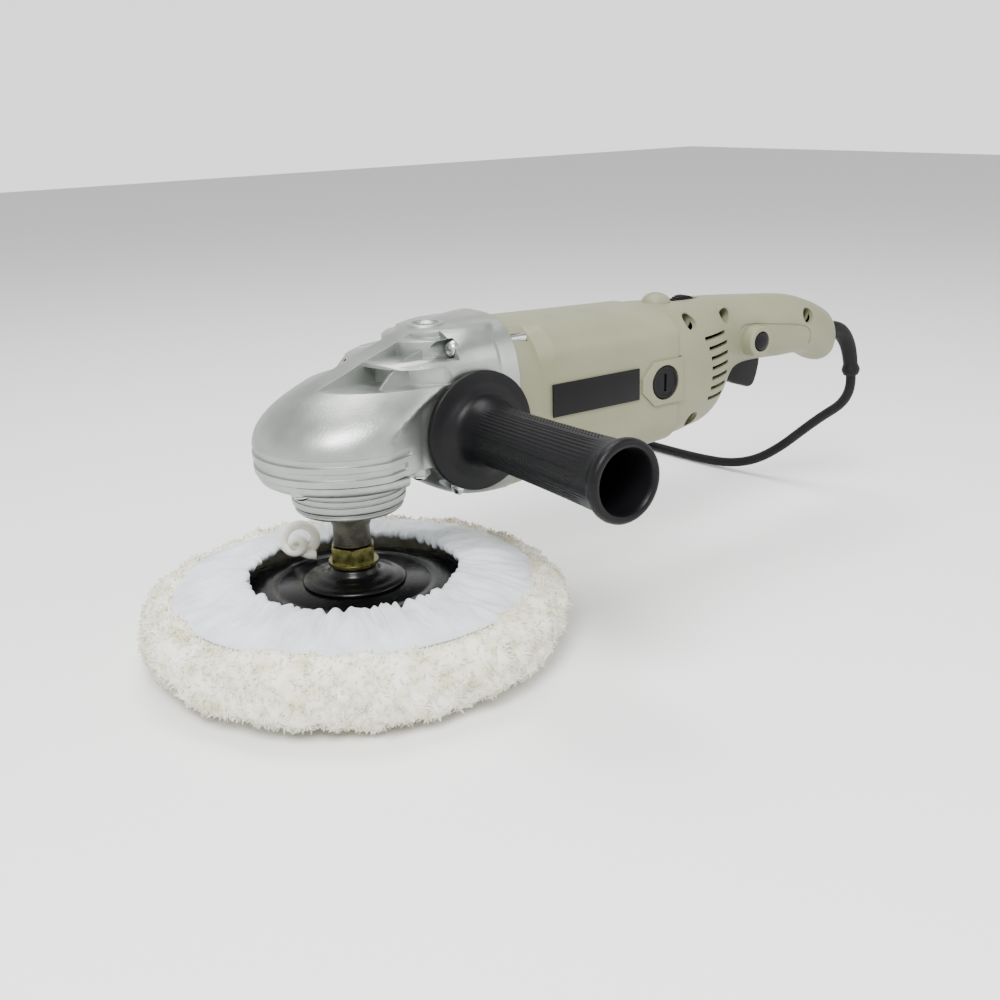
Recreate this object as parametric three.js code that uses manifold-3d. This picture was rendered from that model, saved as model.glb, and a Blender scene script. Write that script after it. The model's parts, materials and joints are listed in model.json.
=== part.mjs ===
// Rotary polisher: a geared head with a wool bonnet under it, a motor body, a rear handle in two
// half shells, and a screwed-in side handle. Millimetres, +Z up. The origin is the middle of the
// bonnet's working face, +Z is the spindle axis, +X runs from the spindle to the rear handle, and
// the side handle points along -Y.
import * as THREE from 'three';
import { mergeVertices } from 'three/addons/utils/BufferGeometryUtils.js';
import Module from 'manifold-3d';

const wasm = await Module();
wasm.setup();

// ---------------------------------------------------------------- driving dimensions
const gap = 0.3; // between pieces that touch
const motorZ = 126; // motor axis above the bonnet's face

const wool = { faceR: 90, bulgeR: 117, height: 39, cavityR: 93, pile: 14.4 };
const skirt = { mouthR: 57, top: 43.4, cloth: 1.2 };
const pad = { r: 88.5, edge: 8, topR: 45, top: 38.5 };
const hub = { r: 28, bossR: 12.7, top: 48.1, plate: 2.2 };
const nut = { r: 13.4, height: 11.1, across: 22, ledge: 2.4 };
const spindle = { r: 10.6, threadR: 7, across: 18, journalR: 8.5, tipR: 4, seatR: 7 };
const spindleClearance = 0.6; // round the turning spindle, where it leaves the neck
const neck = { r: 30.4, bottom: 80.7, capHeight: 3.9, bore: spindle.r + spindleClearance };
const throat = neck.r + 1.1; // the opening in the gear case above the neck
const cover = { r: 46.5, bottom: 99.3, top: 105, lugR: 5.8, back: 33.4 };
const head = { r: 48, halfWidth: 47, blockR: 20, blockX: 57, ramp: 7, bossX: 52, bossTop: 172.4 };
const drum = { halfWidth: 40, top: 174.5, bottom: 76, end: 85 };
const body = { halfWidth: 39.8, wall: 3, rear: 197 };
const shell = { wall: 2.8, tail: 366 };
const gears = { pinionTeeth: 8, crownTeeth: 36, outerR: 29, innerR: 20, addendum: 1.05, dedendum: 1.5 };
const grip = {
  x: 57, z: 120.7, flangeR: 31.6, rim: 3.6, length: 119, r: 16, mouthR: 15.9, beadR: 20.1, studR: 4.9,
};
const brush = { x: 186, capR: 9.8, long: 15 };
const cord = { r: 3.5, turnR: 52, turns: 6.25, layers: 2, at: [326, 228] };

// ---------------------------------------------------------------- materials
const finish = (color, roughness, metalness) => () =>
  new THREE.MeshStandardMaterial({ color, roughness, metalness });
const castSilver = finish(0xbfc2c0, 0.4, 0.7);
const greyShell = finish(0xa5a593, 0.55, 0);
const blackPlastic = finish(0x1c1c1d, 0.45, 0);
const blackRubber = finish(0x141414, 0.7, 0);
const steel = finish(0x8d8f92, 0.35, 1);
const darkSteel = finish(0x4c4a48, 0.35, 1);
const yellowZinc = finish(0xa08a3c, 0.35, 1);
const copper = finish(0xb06a3b, 0.4, 1);
const brass = finish(0xb59a56, 0.35, 1);
const carbon = finish(0x2a2a2c, 0.8, 0);
const woolPile = finish(0xe6e7dc, 0.95, 0);
const whiteCloth = finish(0xe9ebee, 0.9, 0);
const boardGreen = finish(0x1f4a36, 0.6, 0);

// ---------------------------------------------------------------- solids
// A geometry as a solid: shared corners merged, empty triangles dropped, faces pointing out.
function solid(geometry) {
  const bare = geometry.index ? geometry.toNonIndexed() : geometry.clone();
  bare.deleteAttribute('normal');
  bare.deleteAttribute('uv');
  const merged = mergeVertices(bare, 1e-4);
  const points = merged.attributes.position.array;
  const index = merged.index.array;
  const faces = [];
  let volume = 0;
  const [a, b, c] = [new THREE.Vector3(), new THREE.Vector3(), new THREE.Vector3()];
  for (let i = 0; i < index.length; i += 3) {
    const [p, q, r] = [index[i], index[i + 1], index[i + 2]];
    if (p === q || q === r || r === p) continue;
    faces.push(p, q, r);
    volume += a.fromArray(points, 3 * p).dot(b.fromArray(points, 3 * q).cross(c.fromArray(points, 3 * r)));
  }
  if (volume < 0) faces.reverse();
  return new wasm.Manifold(
    new wasm.Mesh({ numProp: 3, vertProperties: points, triVerts: new Uint32Array(faces) }));
}

const join = (first, ...rest) => rest.reduce((sum, piece) => sum.add(piece), first);
const cut = (first, ...rest) => rest.reduce((left, piece) => left.subtract(piece), first);

// Turns a geometry made about +Z so that it runs along another axis.
const along = {
  z: (g) => g,
  x: (g) => g.rotateY(Math.PI / 2),
  y: (g) => g.rotateX(-Math.PI / 2),
};

// A body of revolution. The profile's points are (radius, distance along the axis).
function turned(profile, { axis = 'z', at = [0, 0, 0], sides = 18 } = {}) {
  const closed = profile[0][0] > 0 || profile.at(-1)[0] > 0;
  const points = closed ? [...profile, profile[0]] : profile;
  const g = new THREE.LatheGeometry(points.map(([r, h]) => new THREE.Vector2(r, h)), sides);
  return solid(along[axis](g.rotateX(Math.PI / 2)).translate(...at));
}

const rod = (r, from, to, options) => turned([[0, from], [r, from], [r, to], [0, to]], options);
const tube = (inner, outer, from, to, options) =>
  turned([[inner, from], [outer, from], [outer, to], [inner, to]], options);

function block([x0, x1], [y0, y1], [z0, z1]) {
  const g = new THREE.BoxGeometry(x1 - x0, y1 - y0, z1 - z0);
  return solid(g.translate((x0 + x1) / 2, (y0 + y1) / 2, (z0 + z1) / 2));
}

// An outline in the X-Z plane, extruded across Y.
function plateXZ(outline, y0, y1) {
  const flat = new THREE.Shape(outline.map(([x, z]) => new THREE.Vector2(x, z)));
  const g = new THREE.ExtrudeGeometry(flat, { depth: y1 - y0, bevelEnabled: false });
  return solid(g.rotateX(Math.PI / 2).translate(0, y1, 0));
}

// A skin through rings of equally many points, closed by a fan at each end.
function lofted(rings) {
  const count = rings[0].length;
  const points = rings.flat();
  const faces = [];
  for (let ring = 0; ring < rings.length - 1; ring++) {
    for (let k = 0; k < count; k++) {
      const [p, q] = [ring * count + k, ring * count + ((k + 1) % count)];
      faces.push(p, q, q + count, p, q + count, p + count);
    }
  }
  for (const [ring, flip] of [[0, true], [rings.length - 1, false]]) {
    const middle = new THREE.Vector3();
    rings[ring].forEach((p) => middle.addScaledVector(p, 1 / count));
    const centre = points.push(middle) - 1;
    for (let k = 0; k < count; k++) {
      const [p, q] = [ring * count + k, ring * count + ((k + 1) % count)];
      faces.push(centre, ...(flip ? [q, p] : [p, q]));
    }
  }
  const g = new THREE.BufferGeometry().setFromPoints(points);
  return solid(g.setIndex(faces));
}

// A skin through rings that come back to the first one.
function looped(rings) {
  const count = rings[0].length;
  const points = rings.flat();
  const faces = [];
  rings.forEach((_, ring) => {
    for (let k = 0; k < count; k++) {
      const [p, q] = [ring * count + k, ring * count + ((k + 1) % count)];
      const next = (i) => (i + count) % points.length;
      faces.push(p, q, next(q), p, next(q), next(p));
    }
  });
  return solid(new THREE.BufferGeometry().setFromPoints(points).setIndex(faces));
}

// A rounded section across X: a superellipse from bottom to top.
function section({ x, half, bottom, top, square = 2.6 }, count = 18, inset = 0) {
  const power = 2 / square;
  return Array.from({ length: count }, (_, k) => {
    const turn = (2 * Math.PI * (k + 0.5)) / count;
    const [c, s] = [Math.cos(turn), Math.sin(turn)];
    const y = Math.sign(c) * Math.abs(c) ** power * (half - inset);
    const z = Math.sign(s) * Math.abs(s) ** power * ((top - bottom) / 2 - inset);
    return new THREE.Vector3(x, y, (top + bottom) / 2 + z);
  });
}

// A level outline of the head: half an ellipse at the nose, then sides that close in to the drum.
function level({ z, middle, long, half }) {
  const steps = 9;
  const nose = Array.from({ length: steps + 1 }, (_, k) => {
    const turn = Math.PI / 2 + (Math.PI * k) / steps;
    return new THREE.Vector3(middle + long * Math.cos(turn), half * Math.sin(turn), z);
  });
  const hip = Math.min(half, drum.halfWidth - 1.4);
  const waist = Math.max(24, middle + 6);
  const [a, b] = [waist, Math.max(waist + 5, drum.end - 12)];
  return [
    ...nose,
    new THREE.Vector3(a, -hip, z), new THREE.Vector3(b, -hip, z),
    new THREE.Vector3(b, hip, z), new THREE.Vector3(a, hip, z),
  ];
}

const model = new THREE.Group();
function add(name, piece, material) {
  const { vertProperties, triVerts } = piece.getMesh();
  const g = new THREE.BufferGeometry();
  g.setAttribute('position', new THREE.BufferAttribute(vertProperties, 3));
  g.setIndex(new THREE.BufferAttribute(triVerts, 1));
  const mesh = new THREE.Mesh(g, material());
  mesh.name = name;
  model.add(mesh);
}

// A pan-head screw: the head at the start, the shank along the axis.
const screw = ({ headR, headLong, shankR, long }, axis, at, sides = 10) =>
  turned([[0, -headLong], [headR * 0.7, -headLong], [headR, -headLong * 0.5], [headR, 0],
    [shankR, 0], [shankR, long], [0, long]], { axis, at, sides });

// ---------------------------------------------------------------- bonnet, backing pad and spindle
const discSides = 28; // the bonnet, its skirt and the pad share one facet count, so they nest
const padBottom = wool.pile + gap;
add('bonnet_wool', turned([
  [0, 0], [wool.faceR, 0], [wool.bulgeR - 12, 5], [wool.bulgeR - 3, 13], [wool.bulgeR, 23],
  [wool.bulgeR - 2.5, 32], [wool.bulgeR - 11, wool.height - 1], [wool.cavityR + 1, wool.height],
  [wool.cavityR, wool.height - 1], [wool.cavityR, wool.pile], [0, wool.pile],
], { sides: discSides }), woolPile);

const skirtEdge = wool.cavityR - gap;
add('bonnet_skirt', turned([
  [skirt.mouthR, skirt.top - skirt.cloth], [72, skirt.top - skirt.cloth - 0.6],
  [skirtEdge, wool.height - 2.2], [skirtEdge, wool.height - 1],
  [73, skirt.top - 0.4], [skirt.mouthR, skirt.top],
], { sides: discSides }), whiteCloth);

// The drawstring runs in the skirt's hem and is knotted at the back of the mouth.
const hemZ = skirt.top + gap + 1.7;
const hem = solid(new THREE.TorusGeometry(skirt.mouthR + 1, 1.7, 5, 24).translate(0, 0, hemZ));
const knot = solid(new THREE.SphereGeometry(1, 10, 6).scale(11, 5, 8).rotateZ(-0.9)
  .translate(-6, skirt.mouthR - 4, hemZ + 6));
add('drawstring', join(hem, knot), whiteCloth);

add('backing_pad', turned([
  [0, padBottom], [pad.r, padBottom], [pad.r, padBottom + pad.edge], [pad.r - 4, padBottom + pad.edge + 2],
  [pad.topR + 14, pad.top - 3], [pad.topR, pad.top], [8, pad.top], [8, 26], [0, 26],
], { sides: discSides }), blackRubber);

const hubBottom = pad.top + gap;
add('pad_hub', turned([
  [7.4, hubBottom], [hub.r, hubBottom], [hub.r, hubBottom + hub.plate], [hub.r - 8, hubBottom + hub.plate + 1.6],
  [hub.bossR + 1, 44], [hub.bossR, 45], [hub.bossR, hub.top], [7.4, hub.top],
]), blackPlastic);

const nutBottom = hub.top + gap;
const nutTop = nutBottom + nut.height;
const flats = (half, from, to) => [1, -1].map((side) =>
  block([-30, 30], side > 0 ? [half, 30] : [-30, -half], [from, to]));
add('spindle_nut', cut(
  tube(spindle.threadR + gap, nut.r, nutBottom, nutTop),
  ...flats(nut.across / 2, nutBottom + nut.ledge, nutTop + 1)), yellowZinc);

const shoulder = nutTop + gap;
const bearingLow = 87;
const crownBottom = 106;
add('spindle', cut(turned([
  [0, 27], [spindle.threadR - 1, 27], [spindle.threadR, 28], [spindle.threadR, shoulder],
  [spindle.r, shoulder], [spindle.r, bearingLow - gap], [spindle.journalR, bearingLow - gap],
  [spindle.journalR, 98.5], [spindle.seatR, 98.5], [spindle.seatR, 117], [spindle.tipR, 118],
  [spindle.tipR, 139], [0, 139],
]), ...flats(spindle.across / 2, shoulder + 1.5, shoulder + 12)), darkSteel);

// ---------------------------------------------------------------- bevel gears
// Both gears shrink towards the point where their axes meet, so one tooth section serves all radii.
const apex = new THREE.Vector3(0, 0, motorZ);
const towardApex = (points, scale) =>
  points.map((p) => p.clone().sub(apex).multiplyScalar(scale).add(apex));
const bevelled = (ring) => lofted([ring, towardApex(ring, gears.innerR / gears.outerR)]);
const pinionPitch = (gears.outerR * gears.pinionTeeth) / gears.crownTeeth;
const toothPitch = (2 * Math.PI * gears.outerR) / gears.crownTeeth;
const backlash = 0.34; // taken from each flank

const crownRoot = motorZ - pinionPitch - gears.dedendum;
const toothRise = gears.addendum + gears.dedendum;
const crownInnerRoot = motorZ - ((motorZ - crownRoot) * gears.innerR) / gears.outerR;
// The crown gear is one skin round the axis: its section stands a tooth's rise higher on each tooth.
function crownSection(angle, rise) {
  const toward = gears.innerR / gears.outerR;
  return [
    [spindle.seatR + gap, crownBottom - 4], [gears.outerR, crownBottom + 1],
    [gears.outerR, crownRoot + rise],
    [gears.innerR, crownInnerRoot + rise * toward], [spindle.seatR + gap, crownInnerRoot - 2],
  ].map(([r, z]) => new THREE.Vector3(r * Math.cos(angle), r * Math.sin(angle), z));
}
function crownGear() {
  const step = (2 * Math.PI) / gears.crownTeeth;
  const [foot, tip] = [0.42 - backlash / toothPitch, 0.2 - backlash / toothPitch / 2];
  const rings = [];
  for (let k = 0; k < gears.crownTeeth; k++) {
    for (const [turn, rise] of [[-foot, 0], [-tip, toothRise], [tip, toothRise], [foot, 0]]) {
      rings.push(crownSection((k + turn) * step, rise));
    }
  }
  return looped(rings);
}
add('crown_gear', crownGear(), steel);

const crownTop = crownInnerRoot - 1;
add('crown_circlip', cut(
  tube(spindle.seatR + gap, spindle.seatR + 3.2, crownTop + gap, crownTop + gap + 1.2, { sides: 18 }),
  block([0, 12], [-1.5, 1.5], [crownTop, crownTop + 3])), steel);

const shaftTip = { r: 2.9, from: gears.outerR + 1.5 };
function pinionRing() {
  const teeth = gears.pinionTeeth;
  const [root, tip] = [pinionPitch - gears.dedendum, pinionPitch + gears.addendum];
  const pitchAngle = (2 * Math.PI) / teeth;
  const [footHalf, tipHalf] = [pitchAngle * 0.33, pitchAngle * 0.12];
  const ring = [];
  for (let k = 0; k < teeth; k++) {
    // A tooth space looks straight down at rest, on the crown gear's tooth.
    const middle = (k + 0.5) * pitchAngle - Math.PI / 2;
    for (const [r, turn] of [[root, -footHalf], [tip, -tipHalf], [tip, tipHalf], [root, footHalf]]) {
      const angle = middle + turn;
      ring.push(new THREE.Vector3(gears.outerR, r * Math.cos(angle), motorZ + r * Math.sin(angle)));
    }
  }
  return ring;
}
const onMotor = (options = {}) => ({ axis: 'x', at: [0, 0, motorZ], ...options });
const pinionHub = { r: 5.2, to: 37 };
add('pinion', cut(
  join(bevelled(pinionRing()), rod(pinionHub.r, gears.outerR - 0.5, pinionHub.to, onMotor({ sides: 18 }))),
  rod(shaftTip.r + gap, shaftTip.from - gap, pinionHub.to + 1, onMotor({ sides: 16 }))), steel);

// ---------------------------------------------------------------- armature
const bearingA = { from: 41, to: 51, bore: 6, r: 16 };
const fan = { from: 68, to: 82, r: 35 };
const core = { from: 110, to: 158, r: 23.6 };
const commutator = { from: brush.x - 9, to: brush.x + 9, r: 14 };
const bearingB = { from: 201, to: 210, bore: 4.5, r: 13 };
const shaftR = 6;
add('armature_shaft', turned([
  [0, shaftTip.from], [shaftTip.r, shaftTip.from], [shaftTip.r, pinionHub.to + gap],
  [shaftR - gap, pinionHub.to + gap], [shaftR - gap, bearingA.to + 2], [shaftR, bearingA.to + 2.5],
  [shaftR, bearingB.from - 1], [bearingB.bore - gap, bearingB.from - 1], [bearingB.bore - gap, bearingB.to + 2],
  [0, bearingB.to + 2],
], onMotor({ sides: 18 })), steel);

// The fan: a disc with radial blades on its motor side.
const fanBlades = Array.from({ length: 9 }, (_, k) => {
  const blade = new THREE.BoxGeometry(fan.to - fan.from - 2, fan.r - 12, 1.6);
  blade.translate((fan.from + fan.to) / 2 + 1, (fan.r + 11) / 2, 0);
  return solid(blade.rotateX((2 * Math.PI * k) / 9).translate(0, 0, motorZ));
});
add('cooling_fan', join(
  tube(shaftR + gap, fan.r, fan.from, fan.from + 2.4, onMotor()),
  tube(shaftR + gap, 12, fan.from, fan.to, onMotor({ sides: 18 })), ...fanBlades), blackPlastic);

// Ten slots in the core carry the windings, which bulge at both ends.
const slots = 10;
const slotBars = (r0, r1, wide, from, to) => Array.from({ length: slots }, (_, k) => {
  const bar = new THREE.BoxGeometry(to - from, r1 - r0, wide).translate((from + to) / 2, (r0 + r1) / 2, 0);
  return solid(bar.rotateX((2 * Math.PI * (k + 0.5)) / slots).translate(0, 0, motorZ));
});
add('armature_core', cut(
  tube(shaftR + gap, core.r, core.from, core.to, onMotor({ sides: 18 })),
  ...slotBars(13, core.r + 1, 3.4, core.from - 1, core.to + 1)), steel);
const windingEnd = (from, to) => turned([
  [shaftR + 2, from], [17, from], [20.5, (from + to) / 2], [19, to], [shaftR + 2, to],
], onMotor({ sides: 18 }));
add('armature_windings', join(
  windingEnd(core.from - 9, core.from - gap), windingEnd(core.to + gap, core.to + 10),
  ...slotBars(13.4, 20.5, 2.6, core.from - 1, core.to + 1)), copper);
add('commutator',
  tube(shaftR + gap, commutator.r, commutator.from, commutator.to, onMotor({ sides: 18 })), copper);

// ---------------------------------------------------------------- gear head
const coverScrew = { headR: 4, headLong: 2.6, shankR: 2, long: 13.4 };
const coverScrewAt = [[-36, -19], [-36, 19], [27.5, -28], [27.5, 28]];
const headScrew = { headR: 4.6, headLong: 3.4, shankR: 2.2, long: 45 };
const headScrewAt = [[-28, 162.4], [28, 162.4], [-28, 88], [28, 88]];
const headScrewX = 51.5;

const rimGroove = (z) => [[0, 0.5], [0.5, -0.6], [3.6, -0.6], [4.1, 0.5]].map(([up, out]) =>
  ({ z: z + up, middle: 0, long: head.r + out, half: head.halfWidth + out }));
const headLevels = [
  { z: cover.top + gap, middle: 0, long: head.r - 0.5, half: head.halfWidth - 0.5 },
  ...rimGroove(108.6), ...rimGroove(115.4),
  { z: 120, middle: 0, long: head.r + 0.5, half: head.halfWidth + 0.5 },
  { z: 126, middle: 3, long: head.r + 1.5, half: head.halfWidth },
  { z: 131, middle: 8, long: head.r + 3, half: 46.2 },
  { z: 137, middle: 18, long: head.r + 7, half: 44 },
  { z: 143, middle: 30, long: head.r + 10, half: 41 },
  { z: 147.5, middle: 40, long: head.r + 10, half: 39.5 },
  { z: 153, middle: 46, long: 49.5, half: 38.5 },
  { z: 158.3, middle: 50, long: 41, half: 37.5 },
  { z: 164, middle: 56, long: 31, half: 34 },
  { z: 169.5, middle: 62, long: 24, half: 27 },
  { z: 171.5, middle: 66, long: 22, half: 23 },
];
const drumSections = [
  { x: 34.5, half: 33, bottom: 94.6, top: 152 },
  { x: 38, half: 36.4, bottom: 89.6, top: 161 },
  { x: 46, half: 38.6, bottom: 84, top: 167.5, square: 2.8 },
  { x: 57, half: 38.8, bottom: 79, top: 170.6, square: 3 },
  { x: 70, half: 39, bottom: drum.bottom + 0.4, top: 173, square: 3 },
  { x: drum.end, half: drum.halfWidth, bottom: drum.bottom, top: drum.top, square: 3 },
];
// Flat bosses carry the handle's threaded sockets: one on each side, and one on top.
const outerHead = join(
  lofted(headLevels.map(level)), lofted(drumSections.map((s) => section(s, 20))),
  rod(13, -drum.halfWidth - 0.1, drum.halfWidth + 0.1, { axis: 'y', at: [grip.x, 0, grip.z], sides: 18 }),
  turned([[0, 160], [11, 160], [11, head.bossTop - 1.6], [9.4, head.bossTop], [0, head.bossTop]],
    { at: [head.bossX, 0, 0] }));

// Two tiers of open cells on each side of the central ramp, round the top handle's pedestal.
const shelf = { z: 158.3, thick: 2.5, r: 48 };
const pocketFloor = 147;
const around = (r, from, to, sides = 20) => rod(r, from, to, { at: [head.blockX, 0, 0], sides });
function cells(side) {
  const mine = (y0, y1) => (side < 0 ? [-y1, -y0] : [y0, y1]);
  const across = mine(head.ramp, 60);
  const front = [-60, head.blockX - 4];
  const lower = cut(
    block(front, across, [pocketFloor, shelf.z - shelf.thick]),
    around(shelf.r - 7, pocketFloor - 1, shelf.z),
    block(front, mine(24, 26.4), [pocketFloor - 1, shelf.z]));
  const upper = cut(
    block([-60, head.blockX - 8], across, [shelf.z, drum.top + 5]),
    around(head.blockR + 8, shelf.z - 1, 167.4),
    around(head.blockR, 167, drum.top + 6),
    block(front, mine(18, 20.4), [shelf.z - 1, drum.top + 6]),
    rod(8, headScrewX - 2, 80,
      { axis: 'x', at: [0, side * headScrewAt[1][0], headScrewAt[1][1]], sides: 16 }));
  // Beyond the shelf's edge nothing stands above it, so the slope there is open too.
  const lip = cut(
    block([-60, head.blockX], across, [shelf.z - shelf.thick - 0.5, shelf.z + 0.1]),
    around(shelf.r, pocketFloor, drum.top),
    block(front, mine(24, 26.4), [pocketFloor - 1, shelf.z + 1]),
    block(front, mine(18, 20.4), [pocketFloor - 1, shelf.z + 1]));
  return [lower, upper, lip];
}

const handleSocket = (axis, from, to, at) => rod(grip.studR + 0.4, from, to, { axis, at, sides: 18 });
const chamber = turned([
  [0, cover.top - 5], [throat, cover.top - 5], [throat, 121.5], [throat - 4.5, 126.5], [0, 126.5],
], { sides: 24 });
const exhaust = [1, -1].flatMap((side) => [
  block([36, 70], side < 0 ? [-22, -10] : [10, 22], [148.5, 154.5]),
  block([40, 70], side < 0 ? [-34, -27.5] : [27.5, 34], [148.5, 153.5]),
]);
// The gear cover closes the head from below, up to a straight edge behind its rear screws.
const coverRoom = cut(rod(cover.r + gap, 60, cover.top + gap, { sides: 24 }),
  block([cover.back + gap, 80], [-60, 60], [50, 120]));
const gearHousing = cut(outerHead,
  coverRoom, rod(throat + 1 + gap, 60, cover.top + gap, { sides: 24 }), chamber,
  ...cells(1), ...cells(-1), ...exhaust,
  rod(7.3, 120, 138.6, { sides: 18 }), // upper spindle bearing
  rod(spindle.tipR + 1, 120, 141, { sides: 18 }),
  rod(10.5, 10, 70, onMotor({ sides: 18 })), // pinion tunnel
  rod(bearingA.r + gap, bearingA.from - gap, 70, onMotor({ sides: 18 })),
  rod(36.6, 64, drum.end + 1, onMotor({ sides: 18 })), // fan chamber
  handleSocket('y', -60, -24, [grip.x, 0, grip.z]), handleSocket('y', 24, 60, [grip.x, 0, grip.z]),
  handleSocket('z', 158, 190, [head.bossX, 0, 0]),
  ...headScrewAt.flatMap(([y, z]) => [
    rod(headScrew.shankR + gap, 20, 100, { axis: 'x', at: [0, y, z], sides: 8 }),
    rod(headScrew.headR + 0.8, 10, headScrewX, { axis: 'x', at: [0, y, z], sides: 8 })]),
  ...coverScrewAt.map(([x, y]) => rod(coverScrew.shankR + gap, 90, 114, { at: [x, y, 0], sides: 10 })));
add('gear_housing', gearHousing, castSilver);

// The cover's rim reaches back to the neck, and a thinner plate behind it carries the rear lugs.
const rimBack = 12;
const rimPart = cut(turned([
  [throat, cover.bottom], [cover.r - 1.5, cover.bottom], [cover.r, cover.bottom + 2.7], [cover.r, cover.top],
  [throat, cover.top],
], { sides: 24 }), block([rimBack, 80], [-60, 60], [50, 120]));
const platePart = cut(
  tube(throat, throat + 8, cover.top - 3, cover.top, { sides: 24 }),
  block([cover.back, 80], [-60, 60], [50, 120]));
const neckPart = turned([
  [neck.bore, neck.bottom + neck.capHeight + gap], [neck.r - 0.8, neck.bottom + neck.capHeight + gap],
  [neck.r, 86.5], [neck.r, cover.bottom], [throat + 1, cover.bottom], [throat + 1, cover.top],
  [throat, cover.top], [throat, 102.5], [16.3, 100], [16.3, bearingLow - gap], [neck.bore, bearingLow - gap],
], { sides: 24 });
const lugs = coverScrewAt.map(([x, y]) => cut(
  join(rod(cover.lugR, cover.bottom, cover.top, { at: [x, y, 0], sides: 10 }),
    rod(cover.lugR, cover.bottom, cover.top, { at: [x * 0.9, y * 0.9, 0], sides: 10 })),
  rod(throat + 0.5, 60, 120, { sides: 24 }), block([cover.back, 80], [-60, 60], [50, 120])));
add('gear_cover', cut(join(rimPart, platePart, neckPart, ...lugs),
  ...coverScrewAt.map(([x, y]) => rod(coverScrew.shankR + gap, 80, 110, { at: [x, y, 0], sides: 10 }))),
castSilver);

add('neck_cap', turned([
  [neck.bore, neck.bottom], [neck.r - 3.9, neck.bottom], [neck.r - 1.8, neck.bottom + 1],
  [neck.r - 1.2, neck.bottom + neck.capHeight], [neck.bore, neck.bottom + neck.capHeight],
], { sides: 24 }), castSilver);

coverScrewAt.forEach(([x, y], k) =>
  add('cover_screw_' + (k + 1), screw(coverScrew, 'z', [x, y, cover.bottom - gap]), steel));
headScrewAt.forEach(([y, z], k) =>
  add('head_screw_' + (k + 1), screw(headScrew, 'x', [headScrewX - gap, y, z]), steel));

add('spindle_bearing_lower', tube(spindle.journalR + gap, 16, bearingLow, 98), steel);
add('spindle_bearing_upper', tube(spindle.tipR + gap, 7, 128, 138.3, { sides: 16 }), steel);
[['front', bearingA], ['rear', bearingB]].forEach(([end, { bore, r, from, to }]) =>
  add('armature_bearing_' + end, tube(bore, r, from, to, onMotor({ sides: 18 })), steel));

// ---------------------------------------------------------------- motor housing
const bodySections = [
  { x: drum.end + gap, half: drum.halfWidth, bottom: drum.bottom, top: drum.top - 1.5, square: 3 },
  { x: 95, half: drum.halfWidth, bottom: drum.bottom, top: drum.top - 3, square: 3 },
  { x: 99, half: 39.6, bottom: 76.6, top: 169, square: 3 },
  { x: 104, half: body.halfWidth, bottom: 77.4, top: 168.6, square: 3 },
  { x: 150, half: body.halfWidth, bottom: 80.4, top: 166.8, square: 3 },
  { x: body.rear, half: body.halfWidth, bottom: 84, top: 165.3, square: 3 },
];
const brushBoss = (inset = 0) => [1, -1].map((side) => {
  const [x0, x1, z0, z1, c] = [169 + inset, 200 - inset, motorZ - 13 + inset, motorZ + 13 - inset, 9];
  const outline = [[x0 + c, z0], [x1, z0], [x1, z1], [x0 + c, z1], [x0, z1 - c], [x0, z0 + c]];
  return side < 0 ? plateXZ(outline, -41.4, -34) : plateXZ(outline, 34, 41.4);
});
const hollow = lofted([
  { x: drum.end - 1, half: 38, bottom: 79, top: 170, square: 2.8 },
  ...bodySections.slice(2, -1),
  { ...bodySections.at(-1), x: 194 },
].map((s, k) => section(s, 18, k ? body.wall : 0)));
const spiderWindows = [0, 1, 2, 3].map((k) => {
  const g = new THREE.BoxGeometry(8, 14, 20).translate(196, 0, 28);
  return solid(g.rotateX((Math.PI / 2) * k).translate(0, 0, motorZ));
});
const atBrush = (side, near, far, r, sides = 20) =>
  rod(r, Math.min(side * near, side * far), Math.max(side * near, side * far),
    { axis: 'y', at: [brush.x, 0, motorZ], sides });
const brushBores = [1, -1].map((side) => atBrush(side, 15, 60, brush.capR + gap));
add('motor_housing', join(
  cut(join(lofted(bodySections.map((s) => section(s))), ...brushBoss()), hollow,
    ...spiderWindows,
    rod(bearingB.r + 3.2, 190, 212, onMotor({ sides: 18 })),
    ...headScrewAt.map(([y, z]) =>
      rod(headScrew.shankR + gap, 80, 97.5, { axis: 'x', at: [0, y, z], sides: 8 })),
    ...brushBores),
  tube(bearingB.r + gap, bearingB.r + 3.4, bearingB.from - 5, bearingB.to + 1, onMotor({ sides: 18 })),
), greyShell);

// A ring of field laminations with a pole above and below, and a coil round each pole.
const stator = { from: core.from, to: core.to, bore: 24.5, shoe: 27, yoke: 31.5, r: 35.8 };
const lengthwise = [stator.from - 1, stator.to + 1];
const poleShoes = cut(
  tube(stator.bore, stator.shoe, stator.from, stator.to, onMotor({ sides: 18 })),
  block(lengthwise, [-40, 40], [motorZ - 13, motorZ + 13]));
const poleNecks = [1, -1].map((side) => block([stator.from, stator.to], [-9, 9],
  side > 0 ? [motorZ + stator.shoe - 1.5, motorZ + stator.yoke + 1]
    : [motorZ - stator.yoke - 1, motorZ - stator.shoe + 1.5]));
add('stator_core', join(
  tube(stator.yoke, stator.r, stator.from, stator.to, onMotor({ sides: 18 })),
  poleShoes, ...poleNecks), steel);
const coilEnd = 8;
const coilRing = tube(stator.shoe + gap, stator.yoke - gap * 2,
  stator.from - coilEnd, stator.to + coilEnd, onMotor({ sides: 18 }));
for (const [name, side] of [['upper', 1], ['lower', -1]]) {
  add('field_coil_' + name, cut(coilRing,
    block([0, 300], [-60, 60], side > 0 ? [0, motorZ + 12] : [motorZ - 12, 300]),
    block([stator.from - gap, stator.to + gap], [-9.4, 9.4], [0, 300])), copper);
}

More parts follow.
